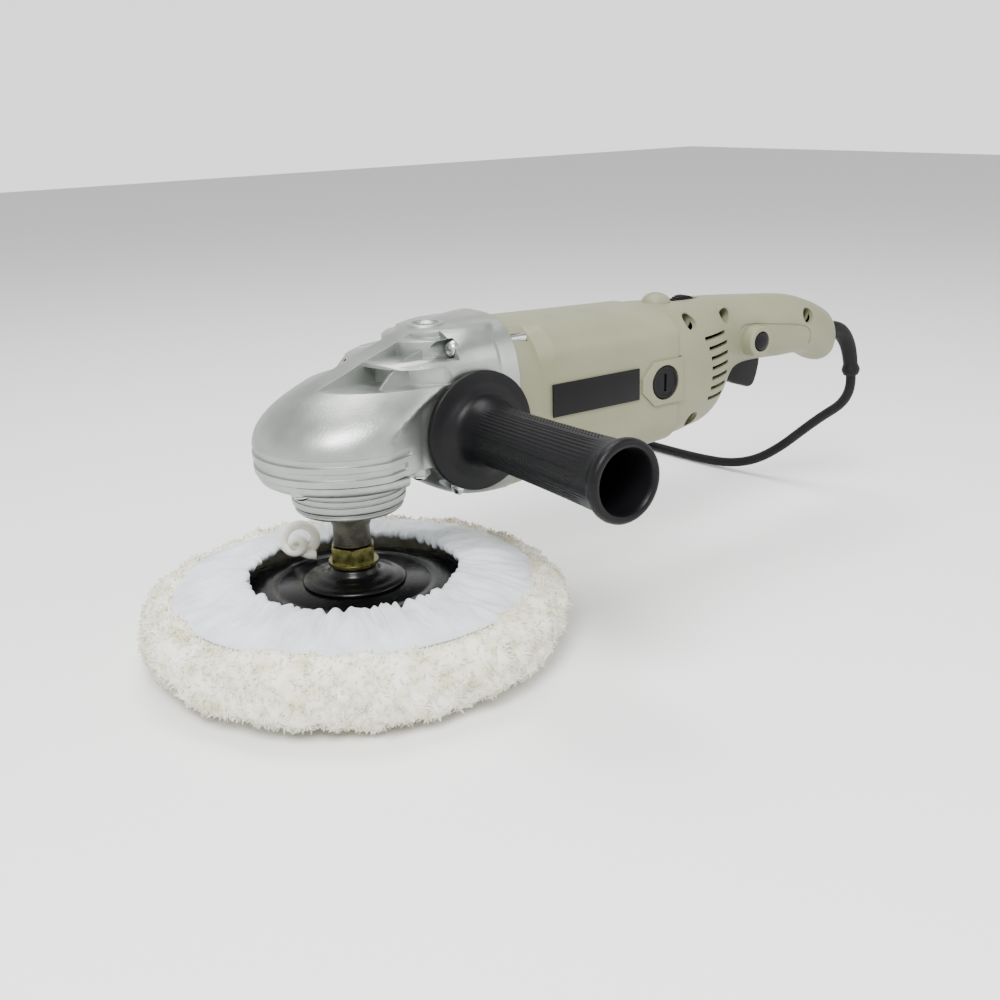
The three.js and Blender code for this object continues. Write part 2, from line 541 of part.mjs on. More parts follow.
for (const [name, side] of [['left', -1], ['right', 1]]) {
  const between = (near, far) => [Math.min(side * near, side * far), Math.max(side * near, side * far)];
  const carbonAt = [[brush.x - 4, brush.x + 4], [motorZ - 3, motorZ + 3]];
  add('carbon_brush_' + name,
    block(carbonAt[0], between(commutator.r + gap, commutator.r + gap + brush.long), carbonAt[1]), carbon);
  add('brush_holder_' + name, cut(
    atBrush(side, 17, 37.2, brush.capR - 2.2, 20),
    block([brush.x - 4 - gap, brush.x + 4 + gap], between(10, 36),
      [motorZ - 3 - gap, motorZ + 3 + gap])), brass);
  add('brush_cap_' + name, cut(
    atBrush(side, 37.5, 41.4, brush.capR),
    block([brush.x - 1, brush.x + 1], between(40.2, 43), [motorZ - 6, motorZ + 6])), blackPlastic);
}

// A blank name plate stands on the flat of the left side.
add('name_plate', block([105.4, 166.9], [-41, -body.halfWidth - gap], [118.7, 137]), blackPlastic);

// ---------------------------------------------------------------- rear housing in two half shells
const shellSections = [
  { x: body.rear + gap, half: 39.7, bottom: 84.4, top: 165.2, square: 3 },
  { x: 208, half: 39, bottom: 85.7, top: 164.6, square: 3 },
  { x: 220, half: 37.8, bottom: 86.9, top: 164, square: 2.8 },
  { x: 231, half: 35.9, bottom: 88.2, top: 163.6, square: 2.7 },
  { x: 241, half: 32.3, bottom: 91.5, top: 163.4 },
  { x: 250, half: 27.8, bottom: 97.9, top: 163.3, square: 2.5 },
  { x: 258, half: 23.4, bottom: 106.3, top: 163, square: 2.5 },
  { x: 266, half: 20.6, bottom: 113, top: 162.4, square: 2.4 },
  { x: 275, half: 19.6, bottom: 117, top: 161.7, square: 2.4 },
  { x: 288, half: 19.7, bottom: 118.4, top: 160.4, square: 2.4 },
  { x: 314, half: 20.8, bottom: 117.6, top: 157.9, square: 2.3 },
  { x: 328, half: 20.8, bottom: 117.5, top: 155.9, square: 2.3 },
  { x: 337.4, half: 20.3, bottom: 116.4, top: 153, square: 2.3 },
  { x: 345.3, half: 19.4, bottom: 113, top: 150.2, square: 2.3 },
  { x: 352.2, half: 18.1, bottom: 109.6, top: 147.1, square: 2.3 },
  { x: 358.2, half: 16.2, bottom: 109.2, top: 143.9, square: 2.3 },
  { x: 362.6, half: 13.4, bottom: 111.4, top: 139.6, square: 2.2 },
  { x: shell.tail - 1, half: 9.4, bottom: 115, top: 135, square: 2.1 },
  { x: shell.tail, half: 5, bottom: 119.8, top: 130.7, square: 2 },
];
// The hollow starts before the first section and stops short of the tail's end wall.
const shellHollow = lofted(shellSections.slice(0, -3).map((s, k, all) =>
  section(k === 0 || k === all.length - 1 ? { ...s, x: s.x - 2 } : s, 18, shell.wall)));
const boot = { r: 6.4, from: 351, z: 126.8 };
const dial = { x: 235.5, z: 153.6, r: 12.4, wide: 6 };
const trigger = { wide: 15, from: 266, to: 298, top: 120.5, travel: 6 };
const lockButton = { x: 279, z: 135, r: 6, out: 27.4 };
const shellScrew = { headR: 3.4, headLong: 2.4, shankR: 1.7, long: 20 };
const shellScrewAt = [[214.5, 156, 28], [250.5, 154.4, 24], [328, 144.4, 18], [214.4, 97.5, 30]];
const post = { r: 5.2, hole: 4.3 };

const ventCount = 7;
const vents = Array.from({ length: ventCount }, (_, k) => {
  const bow = 0.42 * (k - (ventCount - 1) / 2) ** 2; // the row bends like a bracket
  const slot = new THREE.BoxGeometry(23 - 0.9 * k, 40, 2.3);
  return solid(slot.rotateY(-0.03).translate(237.6 - bow, -38, 145.6 - 6.05 * k));
});
const ventsBoth = [...vents, ...vents.map((v) => v.mirror([0, 1, 0]))];

const bossRoom = [1, -1].map((side) => block([190, 200 + gap],
  side < 0 ? [-60, -33.8] : [33.8, 60], [motorZ - 13 - gap, motorZ + 13 + gap]));
const triggerHole = block([trigger.from - 1.2, trigger.to + 1.2],
  [-trigger.wide / 2 - 0.6, trigger.wide / 2 + 0.6], [95, trigger.top + trigger.travel]);
const dialSides = [-dial.wide / 2 - 0.5, dial.wide / 2 + 0.5];
const dialHole = join(
  block([dial.x - dial.r + 1.4, dial.x + dial.r - 1.4], dialSides, [150, 170]),
  block([dial.x - dial.r - 0.8, dial.x + dial.r + 0.8], dialSides, [139, 160.2]));
const bootHole = rod(boot.r + 2 * gap, boot.from, 380, { axis: 'x', at: [0, 0, boot.z], sides: 18 });
const acrossLock = { axis: 'y', at: [lockButton.x, 0, lockButton.z], sides: 18 };
const lockCollar = rod(lockButton.r + 3.4, -lockButton.out + 0.8, -16, acrossLock);
const lockHole = rod(lockButton.r + gap, -60, -10, acrossLock);
// A low hump stands on the top seam in front of the speed dial.
const hump = solid(new THREE.SphereGeometry(1, 12, 8).scale(8.8, 9, 6.4).translate(214.5, 0, 163.6));

function rearShell(side) {
  const mine = (near, far) => [Math.min(side * near, side * far), Math.max(side * near, side * far)];
  const posts = shellScrewAt.map(([x, z, out]) => {
    const [y0, y1] = mine(0.2, out - 3);
    return rod(post.r, y0, y1, { axis: 'y', at: [x, 0, z], sides: 10 });
  });
  const skin = lofted(shellSections.map((s) => section(s)));
  const whole = join(cut(join(skin, hump, ...(side < 0 ? [lockCollar] : [])), shellHollow), ...posts);
  // The left half takes the screws' heads, and the right half takes their threads.
  const holes = shellScrewAt.flatMap(([x, z]) => {
    const options = { axis: 'y', at: [x, 0, z], sides: 10 };
    return side < 0
      ? [rod(post.hole, -60, -12, options), rod(shellScrew.shankR + gap, -14, 1, options)]
      : [rod(shellScrew.shankR + gap, -1, 12, options)];
  });
  return cut(whole, block([190, 400], side < 0 ? [-gap / 2, 80] : [-80, gap / 2], [60, 200]),
    ...holes, ...ventsBoth, ...bossRoom, triggerHole, dialHole, bootHole, ...(side < 0 ? [lockHole] : []));
}
add('rear_housing_left', rearShell(-1), greyShell);
add('rear_housing_right', rearShell(1), greyShell);
shellScrewAt.forEach(([x, z], k) =>
  add('housing_screw_' + (k + 1), screw(shellScrew, 'y', [x, -12 - gap, z]), darkSteel));

// ---------------------------------------------------------------- controls
const switchBox = { from: 268, to: 300, half: 9.5, bottom: 127.5, top: 146 };
add('switch_body', join(
  block([switchBox.from, switchBox.to], [-switchBox.half, switchBox.half], [switchBox.bottom, switchBox.top]),
  block([switchBox.to - 1, switchBox.to + 5], [-5, 5], [132, 141])), blackPlastic);
add('trigger', plateXZ([
  [trigger.from, 113.6], [270.3, 109.2], [276.4, 105.2], [283, 103.2], [288.4, 101.4], [292.4, 102.2],
  [295, 105.6], [297, 111.5], [trigger.to, 115], [trigger.to, trigger.top],
  [trigger.from, trigger.top],
], -trigger.wide / 2, trigger.wide / 2), blackPlastic);
add('lock_button', turned([
  [0, -lockButton.out], [lockButton.r - 0.8, -lockButton.out], [lockButton.r, -lockButton.out + 0.8],
  [lockButton.r, -15], [0, -15],
], acrossLock), blackPlastic);

// The speed dial is a knurled thumb wheel that stands a little out of the top.
const knurls = Array.from({ length: 12 }, (_, k) => {
  const nick = new THREE.BoxGeometry(1, dial.wide + 1, 0.9).translate(dial.r, 0, 0);
  return solid(nick.rotateY((2 * Math.PI * k) / 12).translate(dial.x, 0, dial.z));
});
add('speed_dial', cut(
  tube(2.3, dial.r, -dial.wide / 2, dial.wide / 2, { axis: 'y', at: [dial.x, 0, dial.z], sides: 18 }),
  ...knurls), blackPlastic);
add('speed_module', join(
  block([dial.x - 22, dial.x + 22], [-16, 16], [134, 138]),
  block([dial.x - 5, dial.x + 5], [4.2, 12], [137, 158]),
  rod(1.9, -4, 5, { axis: 'y', at: [dial.x, 0, dial.z], sides: 8 })), boardGreen);

// ---------------------------------------------------------------- side handle
const flangeY = drum.halfWidth + 0.4;
const tipY = flangeY + grip.length;
add('side_handle', turned([
  [grip.studR + gap, flangeY], [grip.flangeR, flangeY], [grip.flangeR, flangeY + grip.rim - 0.6],
  [grip.flangeR - 1, flangeY + grip.rim], [grip.r + 8, flangeY + grip.rim + 1.5],
  [grip.r + 2.6, flangeY + 7.5], [grip.r, flangeY + 14], [grip.r, flangeY + 60], [grip.r + 1.4, tipY - 12],
  [grip.r + 1.4, tipY - 8], [grip.beadR - 0.8, tipY - 6], [grip.beadR, tipY - 3.5], [grip.beadR, tipY - 1.4],
  [grip.beadR - 1.4, tipY], [grip.mouthR, tipY], [grip.mouthR - 1.6, tipY - 8], [grip.mouthR - 3, tipY - 78],
  [grip.studR + gap, tipY - 80],
].map(([r, y]) => [r, -y]), { axis: 'y', at: [grip.x, 0, grip.z], sides: 18 }), blackPlastic);
add('side_handle_stud', join(
  rod(grip.studR, -tipY + 73, -25, { axis: 'y', at: [grip.x, 0, grip.z], sides: 18 }),
  tube(grip.studR - 1, 9, -tipY + 73, -tipY + 78.4,
    { axis: 'y', at: [grip.x, 0, grip.z], sides: 6 })), steel);

// ---------------------------------------------------------------- cord
const sweep = (route, r, sides, steps) => {
  const ring = new THREE.Shape(Array.from({ length: sides }, (_, k) => {
    const turn = (2 * Math.PI * k) / sides;
    return new THREE.Vector2(r * Math.cos(turn), r * Math.sin(turn));
  }));
  const path = new THREE.CatmullRomCurve3(route.map((p) => new THREE.Vector3(...p)), false, 'centripetal');
  return solid(new THREE.ExtrudeGeometry(ring, { steps, extrudePath: path, bevelEnabled: false }));
};
// The strain relief bends down out of the tail, and the cord falls from it to the floor behind.
const bootRoute = [[boot.from + 1, 0, boot.z], [366, 0, boot.z], [377, 0, 126.6], [385.4, 0, 122.4],
  [391.5, 0, 114], [395, 0, 103.5], [396.8, 0, 93.5]];
const bootTip = bootRoute.at(-1);
add('power_cord_boot', sweep(bootRoute, boot.r, 12, 14), blackRubber);

const onFloor = cord.r + 0.1;
const coilX = cord.at[0] + cord.turnR;
const cordRoute = [[bootTip[0] + 0.05, 0, bootTip[2] - gap], [398.3, 0, 86],
  [399.6, 3, 79], [400, 12, 70.5], [399.2, 27, 58.5], [397.5, 43, 43], [395, 61, 26], [391.5, 82, 12],
  [387.5, 105, 5],
  [383.5, 130, onFloor], [380.5, 155, onFloor], [coilX + 0.6, 180, onFloor], [coilX, 199, onFloor]];
add('power_cord', sweep(cordRoute, cord.r, 10, 20), blackRubber);

// The rest of the cord is wound in a flat round coil, which ends at the plug.
const turnsInLayer = cord.turns / cord.layers;
const coilInner = cord.turnR - 2 * cord.r * turnsInLayer - cord.r - gap;
const coilOuter = cord.turnR + cord.r + gap;
const coilTop = 2 * cord.r * cord.layers + gap;
add('cord_coil', tube(coilInner, coilOuter, 0, coilTop, { at: [...cord.at, 0], sides: 24 }), blackRubber);

const plug = { r: 17.6, x: 272, body: 40, pinR: 2.4, pinLong: 19, pinApart: 19 };
const plugY = cord.at[1] + cord.turnR;
const alongPlug = (y = 0) => ({ axis: 'x', at: [0, plugY + y, plug.r] });
const pinEnd = plug.x - plug.body - plug.pinLong;
add('plug', join(
  sweep([[cord.at[0] - 28.4, plugY, 11.6], [288, plugY, 14], [280, plugY, 16.6], [plug.x - 1, plugY, plug.r]],
    cord.r, 10, 6),
  turned([[0, plug.x], [5, plug.x], [5.6, plug.x - 14], [9.5, plug.x - 18], [11.5, plug.x - 29],
    [plug.r, plug.x - 33], [plug.r, plug.x - plug.body], [0, plug.x - plug.body]], alongPlug()),
  ...[1, -1].map((side) => rod(plug.pinR, pinEnd, plug.x - plug.body + 1,
    { ...alongPlug((side * plug.pinApart) / 2), sides: 10 }))), blackPlastic);

model.updateMatrixWorld(true);
export default model;
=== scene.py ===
import json
import math
import random
import time

import bmesh
import bpy
from mathutils import Matrix, Vector, noise

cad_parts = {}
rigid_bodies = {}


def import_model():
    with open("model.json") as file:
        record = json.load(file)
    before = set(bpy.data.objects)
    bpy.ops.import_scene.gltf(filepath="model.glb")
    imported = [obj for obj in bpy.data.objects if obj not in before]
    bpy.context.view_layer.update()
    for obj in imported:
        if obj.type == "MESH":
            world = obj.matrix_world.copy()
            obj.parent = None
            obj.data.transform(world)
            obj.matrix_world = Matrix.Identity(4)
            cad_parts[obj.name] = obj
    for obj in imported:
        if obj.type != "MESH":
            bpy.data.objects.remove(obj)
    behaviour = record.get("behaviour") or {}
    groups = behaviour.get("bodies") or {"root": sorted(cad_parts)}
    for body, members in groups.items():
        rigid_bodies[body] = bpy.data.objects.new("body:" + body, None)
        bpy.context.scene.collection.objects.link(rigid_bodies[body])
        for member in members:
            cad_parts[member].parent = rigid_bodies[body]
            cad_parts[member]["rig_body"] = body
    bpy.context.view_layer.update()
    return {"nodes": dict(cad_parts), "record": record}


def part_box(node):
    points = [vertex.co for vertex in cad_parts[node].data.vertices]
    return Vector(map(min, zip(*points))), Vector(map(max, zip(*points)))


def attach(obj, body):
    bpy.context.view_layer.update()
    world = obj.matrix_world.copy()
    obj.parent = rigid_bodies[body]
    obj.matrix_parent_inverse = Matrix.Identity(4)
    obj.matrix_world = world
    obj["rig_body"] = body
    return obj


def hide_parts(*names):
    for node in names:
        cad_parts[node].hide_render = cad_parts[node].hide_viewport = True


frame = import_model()

# Rotary polisher. Settings are in millimetres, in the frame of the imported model:
# origin on the bonnet's working face, +Z up the spindle, +X to the rear handle, side handle to -Y.
mm = 0.001
started = time.time()
scene = bpy.context.scene
nodes = frame["nodes"]


def nodeBox(name):
    low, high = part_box(name)
    return low / mm, high / mm


# ---- camera

cameraSettings = {
    "azimuth": -34.32,
    "elevation": 18.344,
    "roll": -1.735,
    "target": (96.62, 0, 63.41),
    "distance": 716.3,
    "lens": 44.66,
}


def makeCamera(s):
    a, e, roll = (math.radians(s[k]) for k in ("azimuth", "elevation", "roll"))
    back = Vector((math.sin(a) * math.cos(e), -math.cos(a) * math.cos(e), math.sin(e)))
    right = Vector((math.cos(a), math.sin(a), 0))
    up = back.cross(right)
    across = right * math.cos(roll) + up * math.sin(roll)
    upright = up * math.cos(roll) - right * math.sin(roll)
    data = bpy.data.cameras.new("camera")
    data.lens = s["lens"]
    data.clip_start, data.clip_end = 0.02, 20
    camera = bpy.data.objects.new("camera", data)
    place = Vector(s["target"]) + back * s["distance"]
    camera.matrix_world = Matrix.Translation(place * mm) @ Matrix((across, upright, back)).transposed().to_4x4()
    scene.collection.objects.link(camera)
    scene.camera = camera


makeCamera(cameraSettings)
print("camera set")


# ---- helpers for materials

def linear(hexColour):
    parts = [int(hexColour[i:i + 2], 16) / 255 for i in (1, 3, 5)]
    return [c / 12.92 if c <= 0.04045 else ((c + 0.055) / 1.055) ** 2.4 for c in parts] + [1]


def addNode(material, kind, settings=None, **links):
    node = material.node_tree.nodes.new(kind)
    for key, value in (settings or {}).items():
        if hasattr(node, key) and not key[0].isupper():
            setattr(node, key, value)
        else:
            node.inputs[key].default_value = value
    for key, source in links.items():
        name = key.replace("_", " ")
        socket = node.inputs[int(name[3:])] if name.startswith("in ") else node.inputs[name]
        material.node_tree.links.new(source, socket)
    return node


def newMaterial(name, settings):
    material = bpy.data.materials.new(name)
    material.use_nodes = True
    shader = material.node_tree.nodes["Principled BSDF"]
    for key, value in settings.items():
        shader.inputs[key].default_value = linear(value) if key == "Base Color" else value
    return material, shader


def perMm(size):
    return 1 / (size * mm)  # noise scale for a feature of this size


def mottle(material, shader, colours, grain, detail=3):
    place = addNode(material, "ShaderNodeTexCoord").outputs["Object"]
    cloud = addNode(material, "ShaderNodeTexNoise", {"Scale": perMm(grain), "Detail": detail}, Vector=place)
    ramp = addNode(material, "ShaderNodeValToRGB", {}, Fac=cloud.outputs["Fac"])
    ramp.color_ramp.elements[0].position, ramp.color_ramp.elements[1].position = 0.32, 0.68
    ramp.color_ramp.elements[0].color, ramp.color_ramp.elements[1].color = map(linear, colours)
    material.node_tree.links.new(ramp.outputs["Color"], shader.inputs["Base Color"])
    return place


def roughen(material, shader, place, low, high, grain):
    cloud = addNode(material, "ShaderNodeTexNoise", {"Scale": perMm(grain), "Detail": 4}, Vector=place)
    spread = addNode(material, "ShaderNodeMapRange", {"To Min": low, "To Max": high}, Value=cloud.outputs["Fac"])
    material.node_tree.links.new(spread.outputs["Result"], shader.inputs["Roughness"])


def relief(material, shader, height, depth, edge=0):
    rounded = {}
    if edge:  # the small radius that tooling leaves on every edge
        soft = addNode(material, "ShaderNodeBevel", {"samples": 4, "Radius": edge * mm})
        rounded = {"Normal": soft.outputs["Normal"]}
    bump = addNode(material, "ShaderNodeBump", {"Distance": depth * mm}, Height=height, **rounded)
    material.node_tree.links.new(bump.outputs["Normal"], shader.inputs["Normal"])


# ---- materials

def dieCastAluminium():
    # sprayed satin silver over a pressure casting: soft wide highlights, a faint orange peel
    m, s = newMaterial("sprayedDieCastAluminium", {"Metallic": 0.88, "Roughness": 0.38})
    place = mottle(m, s, ("#8b8f8b", "#a3a7a2"), 35)
    roughen(m, s, place, 0.3, 0.44, 9)
    peel = addNode(m, "ShaderNodeTexNoise", {"Scale": perMm(1.1), "Detail": 4}, Vector=place)
    relief(m, s, peel.outputs["Fac"], 0.1, edge=0.4)
    return m


def mouldedAbs(name, colours, roughness, texture, depth, shine=0.5, edge=0.5):
    # spark-eroded mould: an even fine grain that takes the shine off, mild shifts of tone
    m, s = newMaterial(name, {"Roughness": roughness, "Specular IOR Level": shine})
    place = mottle(m, s, colours, 48)
    roughen(m, s, place, roughness - 0.07, roughness + 0.07, 14)
    grain = addNode(m, "ShaderNodeTexVoronoi", {"Scale": perMm(texture)}, Vector=place)
    relief(m, s, grain.outputs["Distance"], depth, edge)
    return m


def turnedSteel(name, colours, roughness, lineGap, axis="Z"):
    # lathe marks run round the axis as fine rings
    m, s = newMaterial(name, {"Metallic": 1.0, "Roughness": roughness})
    place = mottle(m, s, colours, 6)
    roughen(m, s, place, roughness - 0.08, roughness + 0.12, 3)
    rings = addNode(m, "ShaderNodeTexWave", {
        "bands_direction": axis, "Scale": perMm(lineGap) / 6.28, "Distortion": 1.2, "Detail": 2}, Vector=place)
    relief(m, s, rings.outputs["Fac"], 0.03, edge=0.25)
    return m


def rubberMoulding(name, colours, roughness, shine=0.2):
    # soft PVC or rubber straight from the mould: dull, with a slight skin
    m, s = newMaterial(name, {"Roughness": roughness, "Specular IOR Level": shine})
    place = mottle(m, s, colours, 12)
    roughen(m, s, place, roughness - 0.08, roughness + 0.08, 7)
    skin = addNode(m, "ShaderNodeTexNoise", {"Scale": perMm(0.8), "Detail": 3}, Vector=place)
    relief(m, s, skin.outputs["Fac"], 0.05, edge=0.3)
    return m


def woolFleece():
    # dense sheep's wool: noise patches of darker cream are painted shade between clumps over the wool's own cream, the
    # rest near white, no shine
    m, s = newMaterial("sheepWoolPile", {"Roughness": 0.95, "Sheen Weight": 0.35, "Sheen Roughness": 0.6})
    place = addNode(m, "ShaderNodeTexCoord").outputs["Object"]
    clumpShade = addNode(m, "ShaderNodeTexNoise", {"Scale": perMm(9), "Detail": 5}, Vector=place)
    ramp = addNode(m, "ShaderNodeValToRGB", {}, Fac=clumpShade.outputs["Fac"])
    ramp.color_ramp.elements[0].position, ramp.color_ramp.elements[1].position = 0.28, 0.6
    # the darker cream end of the ramp is painted shade for the clumps, laid by noise rather than by the pile's depth
    ramp.color_ramp.elements[0].color = linear("#cfcaa6")
    ramp.color_ramp.elements[1].color = linear("#f1efe0")
    m.node_tree.links.new(ramp.outputs["Color"], s.inputs["Base Color"])
    fibre = addNode(m, "ShaderNodeTexNoise", {"Scale": perMm(1.1), "Detail": 6, "Distortion": 1.6}, Vector=place)
    relief(m, s, fibre.outputs["Fac"], 0.5)
    return m


def gatheredCotton():
    # bleached plain-weave cotton: threads 0.5 mm apart, drawn a little coarser than the real ones
    m, s = newMaterial("bleachedCottonSheeting", {"Roughness": 0.85, "Sheen Weight": 0.2})
    place = mottle(m, s, ("#c6ccd1", "#dde1e5"), 18)
    threads = [addNode(m, "ShaderNodeTexWave", {
        "bands_direction": d, "Scale": perMm(0.5) / 6.28, "Distortion": 0.6, "Detail": 1}, Vector=place)
        for d in ("X", "Y")]
    weave = addNode(m, "ShaderNodeMath", {"operation": "ADD"},
                    in_0=threads[0].outputs["Fac"], in_1=threads[1].outputs["Fac"])
    relief(m, s, weave.outputs["Value"], 0.08)
    return m


def twistedCotton():
    # unbleached cotton drawstring: creamier than the skirt
    m, s = newMaterial("cottonDrawstring", {"Roughness": 0.9, "Sheen Weight": 0.2})
    place = mottle(m, s, ("#e6e3d3", "#f2f0e4"), 5)
    twist = addNode(m, "ShaderNodeTexNoise", {"Scale": perMm(0.9), "Detail": 4}, Vector=place)
    relief(m, s, twist.outputs["Fac"], 0.3)
    return m


def yellowPassivate():
    # zinc plate with a chromate dip: straw gold with green and rose drifts
    m, s = newMaterial("yellowPassivatedZinc", {"Metallic": 1.0, "Roughness": 0.3})
    place = mottle(m, s, ("#5c5c30", "#8e8855"), 4)
    roughen(m, s, place, 0.2, 0.42, 2)
    marks = addNode(m, "ShaderNodeTexNoise", {"Scale": perMm(0.6), "Detail": 4}, Vector=place)
    relief(m, s, marks.outputs["Fac"], 0.05, edge=0.3)
    return m


finishes = {
    "cast_silver": dieCastAluminium(),
    "grey_shell": mouldedAbs("greyGlassFilledNylon", ("#72735b", "#7b7c64"), 0.5, 0.7, 0.06, shine=0.35),
    "black_plastic": mouldedAbs("blackSatinNylon", ("#08080a", "#0d0d0f"), 0.4, 0.8, 0.05, shine=0.16),
    "black_rubber": rubberMoulding("blackPvcMoulding", ("#070707", "#0c0c0c"), 0.6),
    "bright_steel": turnedSteel("brightZincSteel", ("#a9abad", "#cfd0d1"), 0.24, 0.5),
    "dark_steel": turnedSteel("oilBlackenedSteel", ("#302f2a", "#4c4a42"), 0.34, 0.8),
    "yellow_zinc": yellowPassivate(),
    "copper": turnedSteel("enamelledCopper", ("#9c5a30", "#bf7443"), 0.35, 0.6, "X"),
    "brass": turnedSteel("pressedBrass", ("#a98d4c", "#c4a763"), 0.3, 0.6, "Y"),
    "carbon": rubberMoulding("sinteredCarbon", ("#242426", "#303033"), 0.75),
    "wool_pile": woolFleece(),
    "white_cloth": gatheredCotton(),
    "circuit_board": rubberMoulding("solderMaskedBoard", ("#183d2c", "#245441"), 0.45),
}
glossBlack = mouldedAbs("polishedBlackPhenolic", ("#060607", "#0b0b0c"), 0.26, 1.2, 0.02, shine=0.22)
cordPvc = rubberMoulding("blackPvcCordSheath", ("#060606", "#0b0b0b"), 0.55)
drawstringCotton = twistedCotton()

slotOf = {p["node"]: p["material_slot"] for p in frame["record"]["subparts"]}
bodyOf = {n: o["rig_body"] for n, o in nodes.items()}
for name, o in nodes.items():
    o.data.materials.clear()
    o.data.materials.append(finishes[slotOf[name]])
print("finishes on", len(nodes), "frame nodes")


# ---- helpers for shapes

def finishPiece(name, bm, material, body, stands=(), sharp=32, merge=0.004):
    bmesh.ops.remove_doubles(bm, verts=bm.verts, dist=merge)
    bmesh.ops.recalc_face_normals(bm, faces=bm.faces)
    bmesh.ops.scale(bm, vec=(mm,) * 3, verts=bm.verts)
    mesh = bpy.data.meshes.new(name)
    bm.to_mesh(mesh)
    bm.free()
    mesh.materials.append(material)
    mesh.shade_smooth()
    mesh.set_sharp_from_angle(angle=math.radians(sharp))
    piece = bpy.data.objects.new(name, mesh)
    scene.collection.objects.link(piece)
    if body:
        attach(piece, body)
    if stands:
        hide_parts(*stands)
    return piece


def cuboid(bm, low, high):
    low, high = Vector(low), Vector(high)
    made = bmesh.ops.create_cube(bm, size=1)["verts"]
    bmesh.ops.scale(bm, vec=high - low, verts=made)
    bmesh.ops.translate(bm, vec=(low + high) / 2, verts=made)
    return bm


alongAxis = {
    "z": Matrix.Identity(3),
    "x": Matrix.Rotation(math.pi / 2, 3, "Y"),
    "y": Matrix.Rotation(-math.pi / 2, 3, "X"),
}


def pour(part, bm, axis="z", at=(0, 0, 0)):
    # a shape made about Z is turned to its axis, placed, and added to the rest
    bmesh.ops.remove_doubles(part, verts=part.verts, dist=0.002)
    bmesh.ops.recalc_face_normals(part, faces=part.faces)
    bmesh.ops.rotate(part, matrix=alongAxis[axis], verts=part.verts)
    bmesh.ops.translate(part, vec=at, verts=part.verts)
    mesh = bpy.data.meshes.new("part")
    part.to_mesh(mesh)
    part.free()
    bm.from_mesh(mesh)
    bpy.data.meshes.remove(mesh)
    return bm


def turned(bm, profile, sides=96, axis="z", at=(0, 0, 0)):
    # spins (radius, distance along the axis) points, which start and end on the axis or close up
    points = list(profile)
    if points[0][0] > 0 or points[-1][0] > 0:
        points.append(points[0])
    part = bmesh.new()
    verts = [part.verts.new((r, 0, h)) for r, h in points]
    edges = [part.edges.new(pair) for pair in zip(verts, verts[1:])]
    bmesh.ops.spin(part, geom=verts + edges, cent=(0, 0, 0), axis=(0, 0, 1),
                   angle=math.tau, steps=sides, use_merge=True)
    return pour(part, bm, axis, at)


def rod(bm, radius, start, end, axis="z", at=(0, 0, 0), sides=48):
    return turned(bm, [(0, start), (radius, start), (radius, end), (0, end)], sides, axis, at)


def prism(bm, outline, start, end, axis="y", bevel=0):
    # an outline extruded along an axis: (x, z) points for y, (x, y) for z, (y, z) for x
    place = {"y": lambda p: (p[0], start, p[1]), "z": lambda p: (p[0], p[1], start),
             "x": lambda p: (start, p[0], p[1])}[axis]
    part = bmesh.new()
    face = part.faces.new([part.verts.new(place(p)) for p in outline])
    grown = bmesh.ops.extrude_face_region(part, geom=[face])["geom"]
    vec = Vector({"x": (1, 0, 0), "y": (0, 1, 0), "z": (0, 0, 1)}[axis]) * (end - start)
    bmesh.ops.translate(part, vec=vec, verts=[g for g in grown if isinstance(g, bmesh.types.BMVert)])
    if bevel:
        bmesh.ops.recalc_face_normals(part, faces=part.faces)
        rims = [e for e in part.edges if e.is_manifold and e.calc_face_angle() > 0.9]
        bmesh.ops.bevel(part, geom=rims, offset=bevel, offset_type="OFFSET", affect="EDGES",
                        segments=3, profile=0.5, material=-1)
    return pour(part, bm)


def together(*parts):
    # several shapes as one cutter
    first = parts[0]
    for part in parts[1:]:
        pour(part, first)
    return first


def solid(bm, *steps):
    # a shape after joins and cuts, as millimetres again
    piece = carve(helperObject(bm, "blank"), *steps)
    out = bmesh.new()
    out.from_mesh(piece.data)
    bmesh.ops.scale(out, vec=(1 / mm,) * 3, verts=out.verts)
    bpy.data.objects.remove(piece)
    return out


def skin(bm, rings, closed=False, capped=True):
    # one ring of points is pulled along the others, then its ends are filled
    def key(p):
        return tuple(round(c, 5) for c in p)
    count = len(rings[0])
    verts = [bm.verts.new(p) for p in rings[0]]
    edges = [bm.edges.new((verts[k], verts[(k + 1) % count])) for k in range(count)]
    first = edges
    for ring in rings[1:]:
        where = {key(v.co): k for k, v in enumerate(verts)}
        grown = bmesh.ops.extrude_edge_only(bm, edges=edges)["geom"]
        edges = [g for g in grown if isinstance(g, bmesh.types.BMEdge)]
        fresh = [g for g in grown if isinstance(g, bmesh.types.BMVert)]
        placed = [None] * count
        for v in fresh:
            placed[where[key(v.co)]] = v
        for v, p in zip(placed, ring):
            v.co = p
        verts = placed
    if closed:
        bmesh.ops.bridge_loops(bm, edges=first + edges)
    elif capped:
        for rim in (first, edges):
            bmesh.ops.contextual_create(bm, geom=rim)
    return bm


def smoothTable(rows, keys, steps):
    # rows of sizes at growing places, with the sizes between them on a smooth curve
    def tangent(i, key):
        a, b = rows[max(i - 1, 0)], rows[min(i + 1, len(rows) - 1)]
        return (b[key] - a[key]) / max(b[keys[0]] - a[keys[0]], 1e-6)
    out = []
    for i in range(len(rows) - 1):
        a, b = rows[i], rows[i + 1]
        span = b[keys[0]] - a[keys[0]]
        count = max(1, round(span / steps))
        for k in range(count):
            t = k / count
            h = (2 * t**3 - 3 * t**2 + 1, t**3 - 2 * t**2 + t, -2 * t**3 + 3 * t**2, t**3 - t**2)
            row = {keys[0]: a[keys[0]] + span * t}
            for key in keys[1:]:
                row[key] = (h[0] * a[key] + h[1] * span * tangent(i, key)
                            + h[2] * b[key] + h[3] * span * tangent(i + 1, key))
            out.append(row)
    return out + [rows[-1]]


